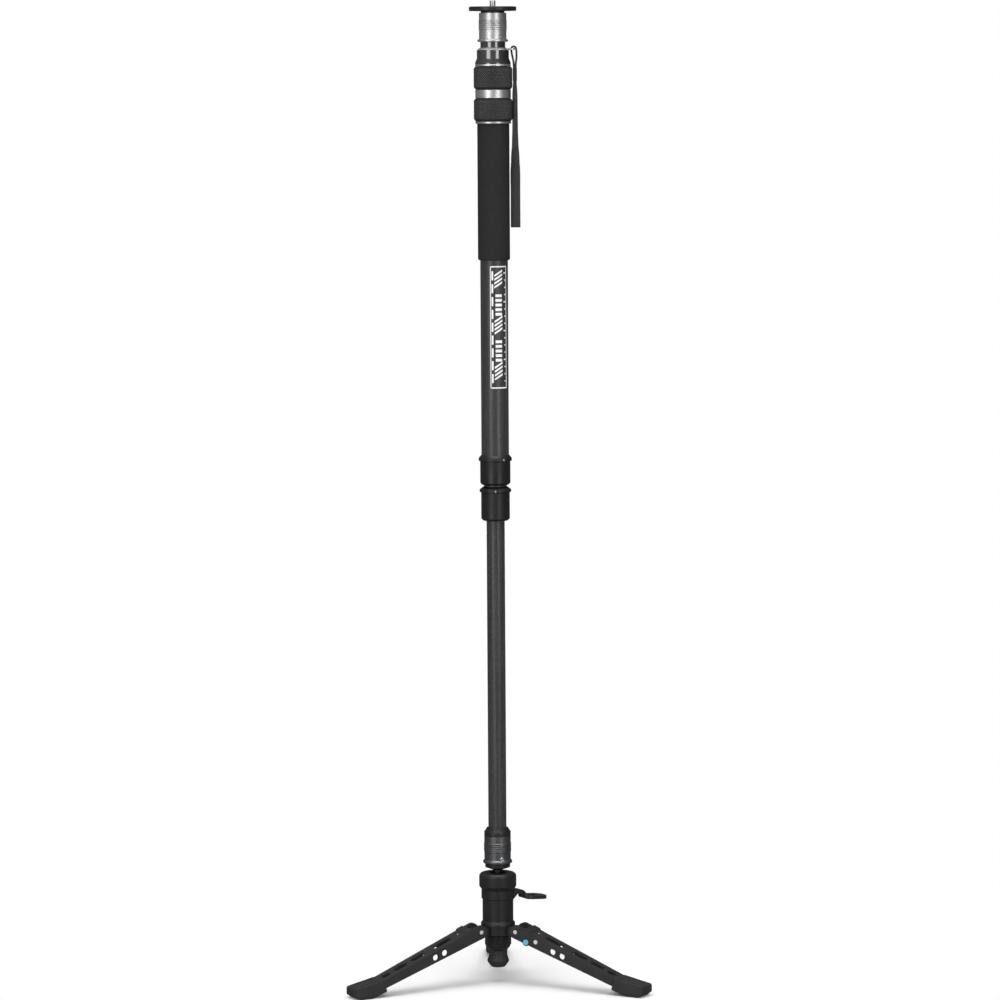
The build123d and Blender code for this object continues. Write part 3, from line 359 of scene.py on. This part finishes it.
# Screws in the sleeves and collars: small steel grub screws with a hexagon socket.
# Each is turned from steel and screwed square into the wall, a little proud of it.
def grub_screw(node, material):
    """A round screw with a hexagon socket, fitted to the solid that stands for it."""
    low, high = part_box(node)
    centre = (low + high) / 2
    outward = Vector((centre.x, centre.y, 0)).normalized()
    radius = (high.z - low.z) / 2
    corners = [v.co for v in frame["nodes"][node].data.vertices]
    reach = max(corner.dot(outward) for corner in corners)
    depth = reach - min(corner.dot(outward) for corner in corners)
    place = Matrix.Translation(outward * reach + Vector((0, 0, centre.z)))
    place = place @ outward.to_track_quat("Z", "Y").to_matrix().to_4x4()
    shape = bmesh.new()
    count = 36
    rounding_share, rim_share = 0.15, 0.85
    socket_share, socket_floor_share, socket_depth_share = 0.55, 0.5, 0.7
    levels = [(radius, -depth), (radius, -radius * rounding_share), (radius * rim_share, 0.0)]
    first_socket_level = len(levels)
    levels += [(radius * socket_share, 0.0), (radius * socket_floor_share, -depth * socket_depth_share)]
    rings = []
    for number, (size, height) in enumerate(levels):
        ring = []
        for step in range(count):
            angle = step * math.tau / count
            across = size
            if number >= first_socket_level:
                wedge = (angle % (math.pi / 3)) - math.pi / 6
                across = size * math.cos(math.pi / 6) / math.cos(wedge)
            point = Vector((across * math.cos(angle), across * math.sin(angle), height))
            ring.append(shape.verts.new(place @ point))
        rings.append(ring)
    for lower, upper in zip(rings, rings[1:]):
        for step in range(count):
            after = (step + 1) % count
            shape.faces.new((lower[step], lower[after], upper[after], upper[step]))
    shape.faces.new(list(reversed(rings[0])))
    shape.faces.new(rings[-1])
    bmesh.ops.recalc_face_normals(shape, faces=shape.faces)
    mesh = bpy.data.meshes.new(f"{node}_finished")
    shape.to_mesh(mesh)
    shape.free()
    mesh.materials.append(material)
    mesh.shade_smooth()
    mesh.set_sharp_from_angle(angle=math.radians(30))
    piece = bpy.data.objects.new(f"{node}_finished", mesh)
    bpy.context.scene.collection.objects.link(piece)
    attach(piece, frame["nodes"][node]["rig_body"])
    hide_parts(node)
    return piece


screw_steel = turned_metal("screw_steel", (0.72, 0.72, 0.73), 0.22)
for node in (
    "lower_sleeve_screw", "upper_sleeve_screw", "lower_collar_screw", "upper_collar_screw",
):
    grub_screw(node, screw_steel)


# Foam hand grip: a moulded tube of dense closed-cell foam, stretched over the upper tube.
# Its skin is matt, with fine pores.
def pored(name, colour, pore, bump):
    """Dull black foam or rubber with small pores."""
    cloud_scale, darker, lighter = 70.0, 0.8, 1.25
    pore_depth = 0.0004
    material = bpy.data.materials.new(name)
    material.use_nodes = True
    nodes, links = material.node_tree.nodes, material.node_tree.links
    shader = nodes["Principled BSDF"]
    place = nodes.new("ShaderNodeTexCoord")
    cells = nodes.new("ShaderNodeTexVoronoi")
    cells.inputs["Scale"].default_value = pore
    cloud = nodes.new("ShaderNodeTexNoise")
    cloud.inputs["Scale"].default_value = cloud_scale
    cloud.inputs["Detail"].default_value = 4.0
    tint = nodes.new("ShaderNodeMixRGB")
    tint.inputs["Color1"].default_value = (*[c * darker for c in colour], 1)
    tint.inputs["Color2"].default_value = (*[c * lighter for c in colour], 1)
    relief = nodes.new("ShaderNodeBump")
    relief.inputs["Strength"].default_value = bump
    relief.inputs["Distance"].default_value = pore_depth
    links.new(place.outputs["Object"], cells.inputs["Vector"])
    links.new(place.outputs["Object"], cloud.inputs["Vector"])
    links.new(cloud.outputs["Fac"], tint.inputs["Fac"])
    links.new(tint.outputs["Color"], shader.inputs["Base Color"])
    links.new(cells.outputs["Distance"], relief.inputs["Height"])
    links.new(relief.outputs["Normal"], shader.inputs["Normal"])
    shader.inputs["Roughness"].default_value = 0.78
    shader.inputs["Specular IOR Level"].default_value = 0.35
    return material


foam = pored("dense_foam", (0.013, 0.013, 0.014), 1500.0, 0.35)
foam_piece = softened("foam_grip", foam, edge=0.0004)


# Twist grips: rubber-covered rings that turn on the handle core. Their faces are moulded
# with rows of small diamonds, set half a step over from row to row.
grip_rubber = pored("grip_rubber", (0.010, 0.010, 0.011), 2600.0, 0.15)
grip_points = enamel("grip_points", (0.028, 0.028, 0.030), 0.42, metallic=0.0, bump=0.03)


def diamond_rows(name, radius, low, high, count, rows, size, height, material):
    """Rows of low four-sided pyramids round a ring, each row half a step over."""
    tree = bpy.data.node_groups.new(name, "GeometryNodeTree")
    face = tree.interface
    face.new_socket("Geometry", in_out="INPUT", socket_type="NodeSocketGeometry")
    face.new_socket("Geometry", in_out="OUTPUT", socket_type="NodeSocketGeometry")
    values = {
        "Radius": radius, "Low": low, "High": high, "Count": count, "Rows": rows,
        "Diamond": size, "Height": height,
    }
    sockets = {}
    for label, value in values.items():
        kind = "NodeSocketInt" if label in ("Count", "Rows") else "NodeSocketFloat"
        made = face.new_socket(label, in_out="INPUT", socket_type=kind)
        made.default_value = value
        sockets[label] = made.identifier
    nodes, links = tree.nodes, tree.links
    given = nodes.new("NodeGroupInput")
    result = nodes.new("NodeGroupOutput")

    def math_node(operation, first, second=None, third=None):
        node = nodes.new("ShaderNodeMath")
        node.operation = operation
        for place, value in enumerate((first, second, third)):
            if value is None:
                continue
            if isinstance(value, (int, float)):
                node.inputs[place].default_value = value
            else:
                links.new(value, node.inputs[place])
        return node.outputs["Value"]

    total = math_node("MULTIPLY", given.outputs["Count"], given.outputs["Rows"])
    line = nodes.new("GeometryNodeMeshLine")
    links.new(total, line.inputs["Count"])
    index = nodes.new("GeometryNodeInputIndex").outputs["Index"]
    row = math_node("FLOOR", math_node("DIVIDE", index, given.outputs["Count"]))
    step = math_node("MODULO", index, given.outputs["Count"])
    half = math_node("MULTIPLY", math_node("MODULO", row, 2), 0.5)
    turned = math_node("DIVIDE", math_node("ADD", step, half), given.outputs["Count"])
    turn = math_node("MULTIPLY", turned, math.tau)
    share = math_node("DIVIDE", math_node("ADD", row, 0.5), given.outputs["Rows"])
    tall = math_node("SUBTRACT", given.outputs["High"], given.outputs["Low"])
    level = math_node("MULTIPLY_ADD", share, tall, given.outputs["Low"])
    spot = nodes.new("ShaderNodeCombineXYZ")
    for wave, axis in (("COSINE", "X"), ("SINE", "Y")):
        across = math_node("MULTIPLY", math_node(wave, turn), given.outputs["Radius"])
        links.new(across, spot.inputs[axis])
    links.new(level, spot.inputs["Z"])
    put = nodes.new("GeometryNodeSetPosition")
    links.new(line.outputs["Mesh"], put.inputs["Geometry"])
    links.new(spot.outputs["Vector"], put.inputs["Position"])
    pyramid = nodes.new("GeometryNodeMeshCone")
    pyramid.inputs["Vertices"].default_value = 4
    pyramid.inputs["Radius Top"].default_value = 0.0
    links.new(given.outputs["Diamond"], pyramid.inputs["Radius Bottom"])
    links.new(given.outputs["Height"], pyramid.inputs["Depth"])
    facing = nodes.new("ShaderNodeCombineXYZ")
    facing.inputs["Y"].default_value = math.pi / 2
    links.new(turn, facing.inputs["Z"])
    copies = nodes.new("GeometryNodeInstanceOnPoints")
    links.new(put.outputs["Geometry"], copies.inputs["Points"])
    links.new(pyramid.outputs["Mesh"], copies.inputs["Instance"])
    links.new(facing.outputs["Vector"], copies.inputs["Rotation"])
    real = nodes.new("GeometryNodeRealizeInstances")
    links.new(copies.outputs["Instances"], real.inputs["Geometry"])
    coat = nodes.new("GeometryNodeSetMaterial")
    coat.inputs["Material"].default_value = material
    links.new(real.outputs["Geometry"], coat.inputs["Geometry"])
    links.new(coat.outputs["Geometry"], result.inputs[0])
    piece = bpy.data.objects.new(name, bpy.data.meshes.new(name))
    bpy.context.scene.collection.objects.link(piece)
    grown = piece.modifiers.new(name, "NODES")
    grown.node_group = tree
    for label, value in values.items():
        grown[sockets[label]] = value
    made = bpy.data.meshes.new_from_object(
        piece.evaluated_get(bpy.context.evaluated_depsgraph_get())
    )
    piece.modifiers.clear()
    piece.data = made
    if not made.materials:
        made.materials.append(material)
    return piece


diamond_size, diamond_height, diamond_sunk = 0.00150, 0.0008, 0.00008
diamond_count = 46
row_pitch_share = 0.98
margin = 0.0024
for which in ("lower", "upper"):
    body = f"{which}_grip"
    softened(f"{which}_twist_grip", grip_rubber, edge=0.0002)
    low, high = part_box(f"{which}_twist_grip")
    rows = round((high.z - low.z - 2 * margin) / (diamond_size * row_pitch_share))
    knurl = diamond_rows(
        f"{which}_grip_diamonds", high.x - diamond_sunk, low.z + margin, high.z - margin,
        diamond_count, rows, diamond_size, diamond_height, grip_points,
    )
    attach(knurl, body)


# Printed panel on the upper tube: white bars, slanted stripes and ticks inside a thin frame,
# screen-printed round the right of its front, in a plain pattern of its own.
print_white = enamel("print_white", (0.78, 0.78, 0.77), 0.5, metallic=0.0, bump=0.03)


def printed_patch(shape, radius, turn_low, turn_high, low, high, skew=0.0):
    """One thin bar of ink on the tube, between two turns and two heights."""
    ink_depth, facet_turn = 0.00006, 3
    steps = math.ceil((turn_high - turn_low) / facet_turn)
    columns = []
    for step in range(steps + 1):
        share = step / steps
        turn = math.radians(turn_low + share * (turn_high - turn_low))
        rise = skew * share
        column = []
        for level, across in (
            (low + rise, radius), (high + rise, radius),
            (high + rise, radius - ink_depth), (low + rise, radius - ink_depth),
        ):
            column.append(shape.verts.new((across * math.cos(turn), across * math.sin(turn), level)))
        columns.append(column)
    for before, after in zip(columns, columns[1:]):
        for side in range(4):
            following = (side + 1) % 4
            shape.faces.new((before[side], after[side], after[following], before[following]))
    shape.faces.new(list(reversed(columns[0])))
    shape.faces.new(columns[-1])


ink = bmesh.new()
ink_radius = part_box("upper_tube")[1].x + 0.00004
ink_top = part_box("foam_grip")[0].z - 0.006
ink_length = 0.1325
ink_bottom = ink_top - ink_length

frame_line, frame_turn = 0.0013, 3
frame_left, frame_right = -108, -36
for end in (ink_top - frame_line, ink_bottom):
    printed_patch(ink, ink_radius, frame_left, frame_right + frame_turn, end, end + frame_line)
for border in (frame_left, frame_right):
    printed_patch(ink, ink_radius, border, border + frame_turn, ink_bottom, ink_top)

dash_start, dash_pitch, dash_length = 0.0055, 0.0139, 0.0098
dash_left, dash_right = -102, -95
for number in range(9):
    level = ink_top - dash_start - number * dash_pitch
    printed_patch(ink, ink_radius, dash_left, dash_right, level - dash_length, level)

tick_start, tick_pitch, tick_half = 0.0075, 0.0078, 0.0007
tick_right, long_tick, short_tick = -39, 10, 6
for number in range(16):
    level = ink_top - tick_start - number * tick_pitch
    wide = short_tick if number % 4 else long_tick
    printed_patch(ink, ink_radius, tick_right - wide, tick_right, level - tick_half, level + tick_half)

group_pitch = 0.0498
stripe_start, stripe_pitch, stripe_height, stripe_skew = 0.0115, 0.0042, 0.0022, 0.0056
for group in range(3):
    for stripe in range(4):
        level = ink_top - stripe_start - group * group_pitch - stripe * stripe_pitch
        printed_patch(ink, ink_radius, -90, -56, level, level + stripe_height, skew=stripe_skew)

bar_start, bar_pitch, bar_height = 0.0335, 0.0050, 0.0030
for group in range(2):
    for bar in range(5):
        level = ink_top - bar_start - group * group_pitch - bar * bar_pitch
        printed_patch(ink, ink_radius, -86, -58, level, level + bar_height)
bmesh.ops.recalc_face_normals(ink, faces=ink.faces)
ink_mesh = bpy.data.meshes.new("tube_print")
ink.to_mesh(ink_mesh)
ink.free()
ink_mesh.materials.append(print_white)
tube_print = bpy.data.objects.new("tube_print", ink_mesh)
bpy.context.scene.collection.objects.link(tube_print)
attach(tube_print, "upper_pole")


# Strap webbing: flat woven nylon folded double, with both its ends sewn into the tab.
# It hangs beside the grip and turns to face the front on its way down.
def woven(name, colour, pitch_u, pitch_v, bump):
    """Plain weave that follows the strip's own UV map."""
    darker, lighter, check_share = 0.7, 1.5, 0.5
    thread_depth = 0.0004
    material = bpy.data.materials.new(name)
    material.use_nodes = True
    nodes, links = material.node_tree.nodes, material.node_tree.links
    shader = nodes["Principled BSDF"]
    place = nodes.new("ShaderNodeUVMap")
    scale = nodes.new("ShaderNodeMapping")
    scale.inputs["Scale"].default_value = (pitch_u, pitch_v, 1)
    cells = nodes.new("ShaderNodeTexChecker")
    cells.inputs["Scale"].default_value = 1.0
    waves = nodes.new("ShaderNodeTexWave")
    waves.inputs["Scale"].default_value = 0.8
    waves.inputs["Distortion"].default_value = 0.6
    mix = nodes.new("ShaderNodeMath")
    mix.operation = "MULTIPLY_ADD"
    mix.inputs[1].default_value = check_share
    tint = nodes.new("ShaderNodeMixRGB")
    tint.inputs["Color1"].default_value = (*[c * darker for c in colour], 1)
    tint.inputs["Color2"].default_value = (*[c * lighter for c in colour], 1)
    relief = nodes.new("ShaderNodeBump")
    relief.inputs["Strength"].default_value = bump
    relief.inputs["Distance"].default_value = thread_depth
    links.new(place.outputs["UV"], scale.inputs["Vector"])
    links.new(scale.outputs["Vector"], cells.inputs["Vector"])
    links.new(scale.outputs["Vector"], waves.inputs["Vector"])
    links.new(cells.outputs["Fac"], mix.inputs[0])
    links.new(waves.outputs["Fac"], mix.inputs[2])
    links.new(mix.outputs["Value"], tint.inputs["Fac"])
    links.new(tint.outputs["Color"], shader.inputs["Base Color"])
    links.new(mix.outputs["Value"], relief.inputs["Height"])
    links.new(relief.outputs["Normal"], shader.inputs["Normal"])
    shader.inputs["Roughness"].default_value = 0.7
    shader.inputs["Sheen Weight"].default_value = 0.25
    return material


def strip(name, stations, width, thickness, material):
    """A flat strap swept through stations of (centre, direction of its width)."""
    crease_turn = math.radians(50)
    shape = bmesh.new()
    layer = shape.loops.layers.uv.new("UVMap")
    section_shares = [
        (-0.5, -0.25), (-0.47, -0.5), (0.47, -0.5), (0.5, -0.25),
        (0.5, 0.25), (0.47, 0.5), (-0.47, 0.5), (-0.5, 0.25),
    ]
    rings, runs, walked = [], [], 0.0
    for number, (centre, wide) in enumerate(stations):
        before = stations[max(number - 1, 0)][0]
        after = stations[min(number + 1, len(stations) - 1)][0]
        along = (after - before).normalized()
        side = (wide - along * wide.dot(along)).normalized()
        normal = along.cross(side)
        if number:
            walked += (centre - stations[number - 1][0]).length
        runs.append(walked)
        rings.append([
            shape.verts.new(centre + side * (u * width) + normal * (v * thickness))
            for u, v in section_shares
        ])
    count = len(section_shares)
    for number, (lower, upper) in enumerate(zip(rings, rings[1:])):
        for step in range(count):
            after = (step + 1) % count
            face = shape.faces.new((lower[step], lower[after], upper[after], upper[step]))
            sides = (step / count, (step + 1) / count)
            spots = (
                (sides[0], runs[number]), (sides[1], runs[number]),
                (sides[1], runs[number + 1]), (sides[0], runs[number + 1]),
            )
            for loop, spot in zip(face.loops, spots):
                loop[layer].uv = spot
    shape.faces.new(list(reversed(rings[0])))
    shape.faces.new(rings[-1])
    bmesh.ops.recalc_face_normals(shape, faces=shape.faces)
    mesh = bpy.data.meshes.new(name)
    shape.to_mesh(mesh)
    shape.free()
    mesh.materials.append(material)
    mesh.shade_smooth()
    mesh.set_sharp_from_angle(angle=crease_turn)
    piece = bpy.data.objects.new(name, mesh)
    bpy.context.scene.collection.objects.link(piece)
    return piece


webbing_weave = woven("webbing_weave", (0.015, 0.015, 0.0165), 20.0, 1100.0, 0.6)
web_low, web_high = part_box("strap_webbing")
tab_low, tab_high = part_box("strap_tab")
web_at = (tab_low.x + tab_high.x) / 2
web_length = web_high.z - web_low.z
web_width, web_thick = 0.0104, 0.0013
web_gap, web_bulge = 0.00075, 0.0002
fold_depth = 0.0012
web_steps, fold_steps, fold_flatness = 60, 6, 0.7
web_turns = (
    (0.0, 6), (0.1, 16), (0.33, 18), (0.42, 24), (0.54, 45), (0.66, 75), (0.76, 88), (1.0, 84),
)


def web_turn(share):
    """Turn of the webbing's width, in degrees from the Y axis, at a share of its length."""
    for (low_share, low_turn), (high_share, high_turn) in zip(web_turns, web_turns[1:]):
        if share <= high_share:
            part = (share - low_share) / (high_share - low_share)
            part = part * part * (3 - 2 * part)
            return low_turn + part * (high_turn - low_turn)
    return web_turns[-1][1]


def web_station(share, layer):
    """Centre and width direction of one layer of the webbing."""
    turn = math.radians(web_turn(share))
    wide = Vector((-math.sin(turn), math.cos(turn), 0))
    apart = Vector((math.cos(turn), math.sin(turn), 0))
    gap = web_gap + web_bulge * math.sin(math.pi * share)
    level = web_high.z - share * (web_length - fold_depth)
    return Vector((web_at, 0, level)) + apart * (layer * gap), wide


stations = [web_station(step / web_steps, -1) for step in range(web_steps + 1)]
bottom_left, bottom_wide = web_station(1.0, -1)
bottom_right = web_station(1.0, 1)[0]
fold_centre = (bottom_left + bottom_right) / 2
fold_radius = (bottom_right - bottom_left).length / 2
fold_side = (bottom_right - bottom_left).normalized()
for step in range(1, fold_steps):
    angle = math.pi * step / fold_steps
    offset = -fold_side * math.cos(angle) - Vector((0, 0, 1)) * math.sin(angle) * fold_flatness
    stations.append((fold_centre + offset * fold_radius, bottom_wide))
stations += [web_station(1 - step / web_steps, 1) for step in range(web_steps + 1)]
webbing = strip("strap_webbing_woven", stations, web_width, web_thick, webbing_weave)
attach(webbing, "upper_pole")
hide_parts("strap_webbing")


# Strap tab: two leaves of thin black hide that hold the cord and the webbing between them,
# sewn with short stitches of heavy thread in two rows on each broad face.
tab_hide = pored("tab_hide", (0.02, 0.019, 0.019), 1900.0, 0.25)
tab = softened("strap_tab", tab_hide, edge=0.0005, segments=3)
stitch_thread = woven("stitch_thread", (0.05, 0.05, 0.052), 900.0, 900.0, 0.3)
stitch_length, stitch_radius = 0.0016, 0.00022
stitch_start, stitch_pitch, row_reach = 0.0022, 0.0021, 0.0042
seams = bmesh.new()
for face_side in (-1, 1):
    for row in (-1, 1):
        for number in range(6):
            level = tab_low.z + stitch_start + number * stitch_pitch
            spot = Matrix.Translation(
                (web_at + face_side * (tab_high.x - web_at), row * row_reach, level)
            )
            bmesh.ops.create_icosphere(
                seams, subdivisions=1, radius=stitch_radius,
                matrix=spot @ Matrix.Diagonal((1, 1, stitch_length / (2 * stitch_radius), 1)),
            )
seam_mesh = bpy.data.meshes.new("tab_stitches")
seams.to_mesh(seam_mesh)
seams.free()
seam_mesh.materials.append(stitch_thread)
seam_mesh.shade_smooth()
tab_stitches = bpy.data.objects.new("tab_stitches", seam_mesh)
bpy.context.scene.collection.objects.link(tab_stitches)
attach(tab_stitches, "upper_pole")


# Strap cord: a thin braid that runs up from the tab, through the eyelet of the ring and back.
# Its ends are sewn into the tab, and the weave is the webbing's.
cord_route = [
    (0.0226, 0, 1.0005), (0.0226, 0, 1.0054), (0.0200, 0, 1.0164), (0.0200, 0, 1.0225),
    (0.0254, 0, 1.0227), (0.0256, 0, 1.0099), (0.0246, 0, 1.0049), (0.0246, 0, 1.0005),
]
cord_line = bpy.data.curves.new("strap_cord_braid", "CURVE")
cord_line.dimensions = "3D"
cord_line.bevel_depth = 0.0011
cord_line.bevel_resolution = 5
cord_line.resolution_u = 24
cord_line.use_fill_caps = True
braid = cord_line.splines.new("NURBS")
braid.points.add(len(cord_route) - 1)
for point, spot in zip(braid.points, cord_route):
    point.co = (*spot, 1)
braid.order_u = 3
braid.use_endpoint_u = True
cord_line.materials.append(webbing_weave)
strap_cord = bpy.data.objects.new("strap_cord_braid", cord_line)
bpy.context.scene.collection.objects.link(strap_cord)
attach(strap_cord, "upper_pole")
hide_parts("strap_cord")


# Studio: a pale floor that fades to white, a broad overhead light and two side strips,
# and the camera at a standing height, five metres in front. The floor and the room are
# darker in mirrored rays, so that black and silver metal show the lights as clear bands.
floor_size = 30.0
shadow_reach, white_reach = 0.15, 0.5
floor_in_mirrors = 0.14
floor_mesh = bpy.data.meshes.new("floor")
floor_mesh.from_pydata(
    [(-floor_size, -floor_size, 0), (floor_size, -floor_size, 0),
     (floor_size, floor_size, 0), (-floor_size, floor_size, 0)],
    [], [(0, 1, 2, 3)],
)
floor_white = bpy.data.materials.new("floor_white")
floor_white.use_nodes = True
floor_nodes, floor_links = floor_white.node_tree.nodes, floor_white.node_tree.links
floor_shader = floor_nodes["Principled BSDF"]
floor_shader.inputs["Base Color"].default_value = (0.92, 0.92, 0.92, 1)
floor_shader.inputs["Roughness"].default_value = 0.9
floor_shader.inputs["Specular IOR Level"].default_value = 0.0
glow = floor_nodes.new("ShaderNodeEmission")
glow.inputs["Color"].default_value = (1, 1, 1, 1)
place = floor_nodes.new("ShaderNodeTexCoord")
reach = floor_nodes.new("ShaderNodeVectorMath")
reach.operation = "LENGTH"
fade = floor_nodes.new("ShaderNodeMapRange")
fade.inputs["From Min"].default_value = shadow_reach
fade.inputs["From Max"].default_value = white_reach
ray = floor_nodes.new("ShaderNodeLightPath")
seen = floor_nodes.new("ShaderNodeMath")
seen.operation = "MULTIPLY"
blend = floor_nodes.new("ShaderNodeMixShader")
floor_links.new(place.outputs["Object"], reach.inputs[0])
floor_links.new(reach.outputs["Value"], fade.inputs["Value"])
floor_links.new(fade.outputs["Result"], seen.inputs[0])
floor_links.new(ray.outputs["Is Camera Ray"], seen.inputs[1])
floor_links.new(seen.outputs["Value"], blend.inputs["Fac"])
floor_links.new(floor_shader.outputs["BSDF"], blend.inputs[1])
floor_links.new(glow.outputs["Emission"], blend.inputs[2])
damped = floor_nodes.new("ShaderNodeEmission")
damped.inputs["Strength"].default_value = floor_in_mirrors
in_gloss = floor_nodes.new("ShaderNodeMixShader")
floor_links.new(ray.outputs["Is Glossy Ray"], in_gloss.inputs["Fac"])
floor_links.new(blend.outputs["Shader"], in_gloss.inputs[1])
floor_links.new(damped.outputs["Emission"], in_gloss.inputs[2])
floor_links.new(in_gloss.outputs["Shader"], floor_nodes["Material Output"].inputs["Surface"])
floor_mesh.materials.append(floor_white)
floor = bpy.data.objects.new("floor", floor_mesh)
bpy.context.scene.collection.objects.link(floor)

room_light, mirrored_dark, mirrored_bright = 0.5, 0.05, 0.36
bright_side = (-0.5, -0.8, 0.33)
world = bpy.data.worlds.new("studio")
bpy.context.scene.world = world
world.use_nodes = True
world_nodes, world_links = world.node_tree.nodes, world.node_tree.links
backdrop = world_nodes["Background"]
backdrop.inputs["Color"].default_value = (1, 1, 1, 1)
surround = world_nodes.new("ShaderNodeTexCoord")
towards_room = world_nodes.new("ShaderNodeVectorMath")
towards_room.operation = "DOT_PRODUCT"
towards_room.inputs[1].default_value = bright_side
flagged = world_nodes.new("ShaderNodeMapRange")
flagged.inputs["From Min"].default_value = -1.0
flagged.inputs["From Max"].default_value = 1.0
flagged.inputs["To Min"].default_value = mirrored_dark
flagged.inputs["To Max"].default_value = mirrored_bright
mirrored = world_nodes.new("ShaderNodeMix")
mirrored.inputs["A"].default_value = room_light
bright = world_nodes.new("ShaderNodeBackground")
bright.inputs["Color"].default_value = (1, 1, 1, 1)
bright.inputs["Strength"].default_value = 1.0
ray = world_nodes.new("ShaderNodeLightPath")
world_links.new(surround.outputs["Generated"], towards_room.inputs[0])
world_links.new(towards_room.outputs["Value"], flagged.inputs["Value"])
world_links.new(ray.outputs["Is Glossy Ray"], mirrored.inputs["Factor"])
world_links.new(flagged.outputs["Result"], mirrored.inputs["B"])
world_links.new(mirrored.outputs["Result"], backdrop.inputs["Strength"])
choice = world_nodes.new("ShaderNodeMixShader")
world_links.new(ray.outputs["Is Camera Ray"], choice.inputs["Fac"])
world_links.new(backdrop.outputs["Background"], choice.inputs[1])
world_links.new(bright.outputs["Background"], choice.inputs[2])
world_links.new(choice.outputs["Shader"], world_nodes["World Output"].inputs["Surface"])


def soft_box(name, place, aim, width, height, power):
    """A rectangular studio light, aimed at a point."""
    lamp = bpy.data.lights.new(name, "AREA")
    lamp.shape = "RECTANGLE"
    lamp.size = width
    lamp.size_y = height
    lamp.energy = power
    light = bpy.data.objects.new(name, lamp)
    light.location = place
    light.rotation_euler = (Vector(aim) - Vector(place)).to_track_quat("-Z", "Y").to_euler()
    bpy.context.scene.collection.objects.link(light)


soft_box("overhead", (0.0, -0.4, 3.0), (0, 0, 0.4), 2.4, 2.0, 60)
soft_box("left_strip", (-1.25, -1.93, 0.85), (0, 0, 0.6), 1.0, 1.8, 15)
soft_box("right_strip", (1.2, -1.95, 0.85), (0, 0, 0.6), 0.8, 1.8, 12)

lens_pixels, picture_pixels, sensor_width = 4613.4, 1000, 36.0
camera_place = (-0.0579, -5.0, 1.0)
camera_data = bpy.data.cameras.new("camera")
camera_data.sensor_width = sensor_width
camera_data.lens = lens_pixels * sensor_width / picture_pixels
camera_data.clip_start = 0.1
camera_data.clip_end = 200.0
camera = bpy.data.objects.new("camera", camera_data)
yaw, pitch, roll = (math.radians(turn) for turn in (0.7197, -5.3549, -0.3357))
forward = Vector((math.sin(yaw) * math.cos(pitch), math.cos(yaw) * math.cos(pitch), math.sin(pitch)))
right = Vector((math.cos(yaw), -math.sin(yaw), 0))
upward = right.cross(forward)
rolled_right = right * math.cos(roll) + upward * math.sin(roll)
rolled_up = upward * math.cos(roll) - right * math.sin(roll)
turned_frame = Matrix((rolled_right, rolled_up, -forward)).transposed()
camera.matrix_world = Matrix.Translation(camera_place) @ turned_frame.to_4x4()
bpy.context.scene.collection.objects.link(camera)
bpy.context.scene.camera = camera
bpy.context.scene.view_settings.view_transform = "Standard"
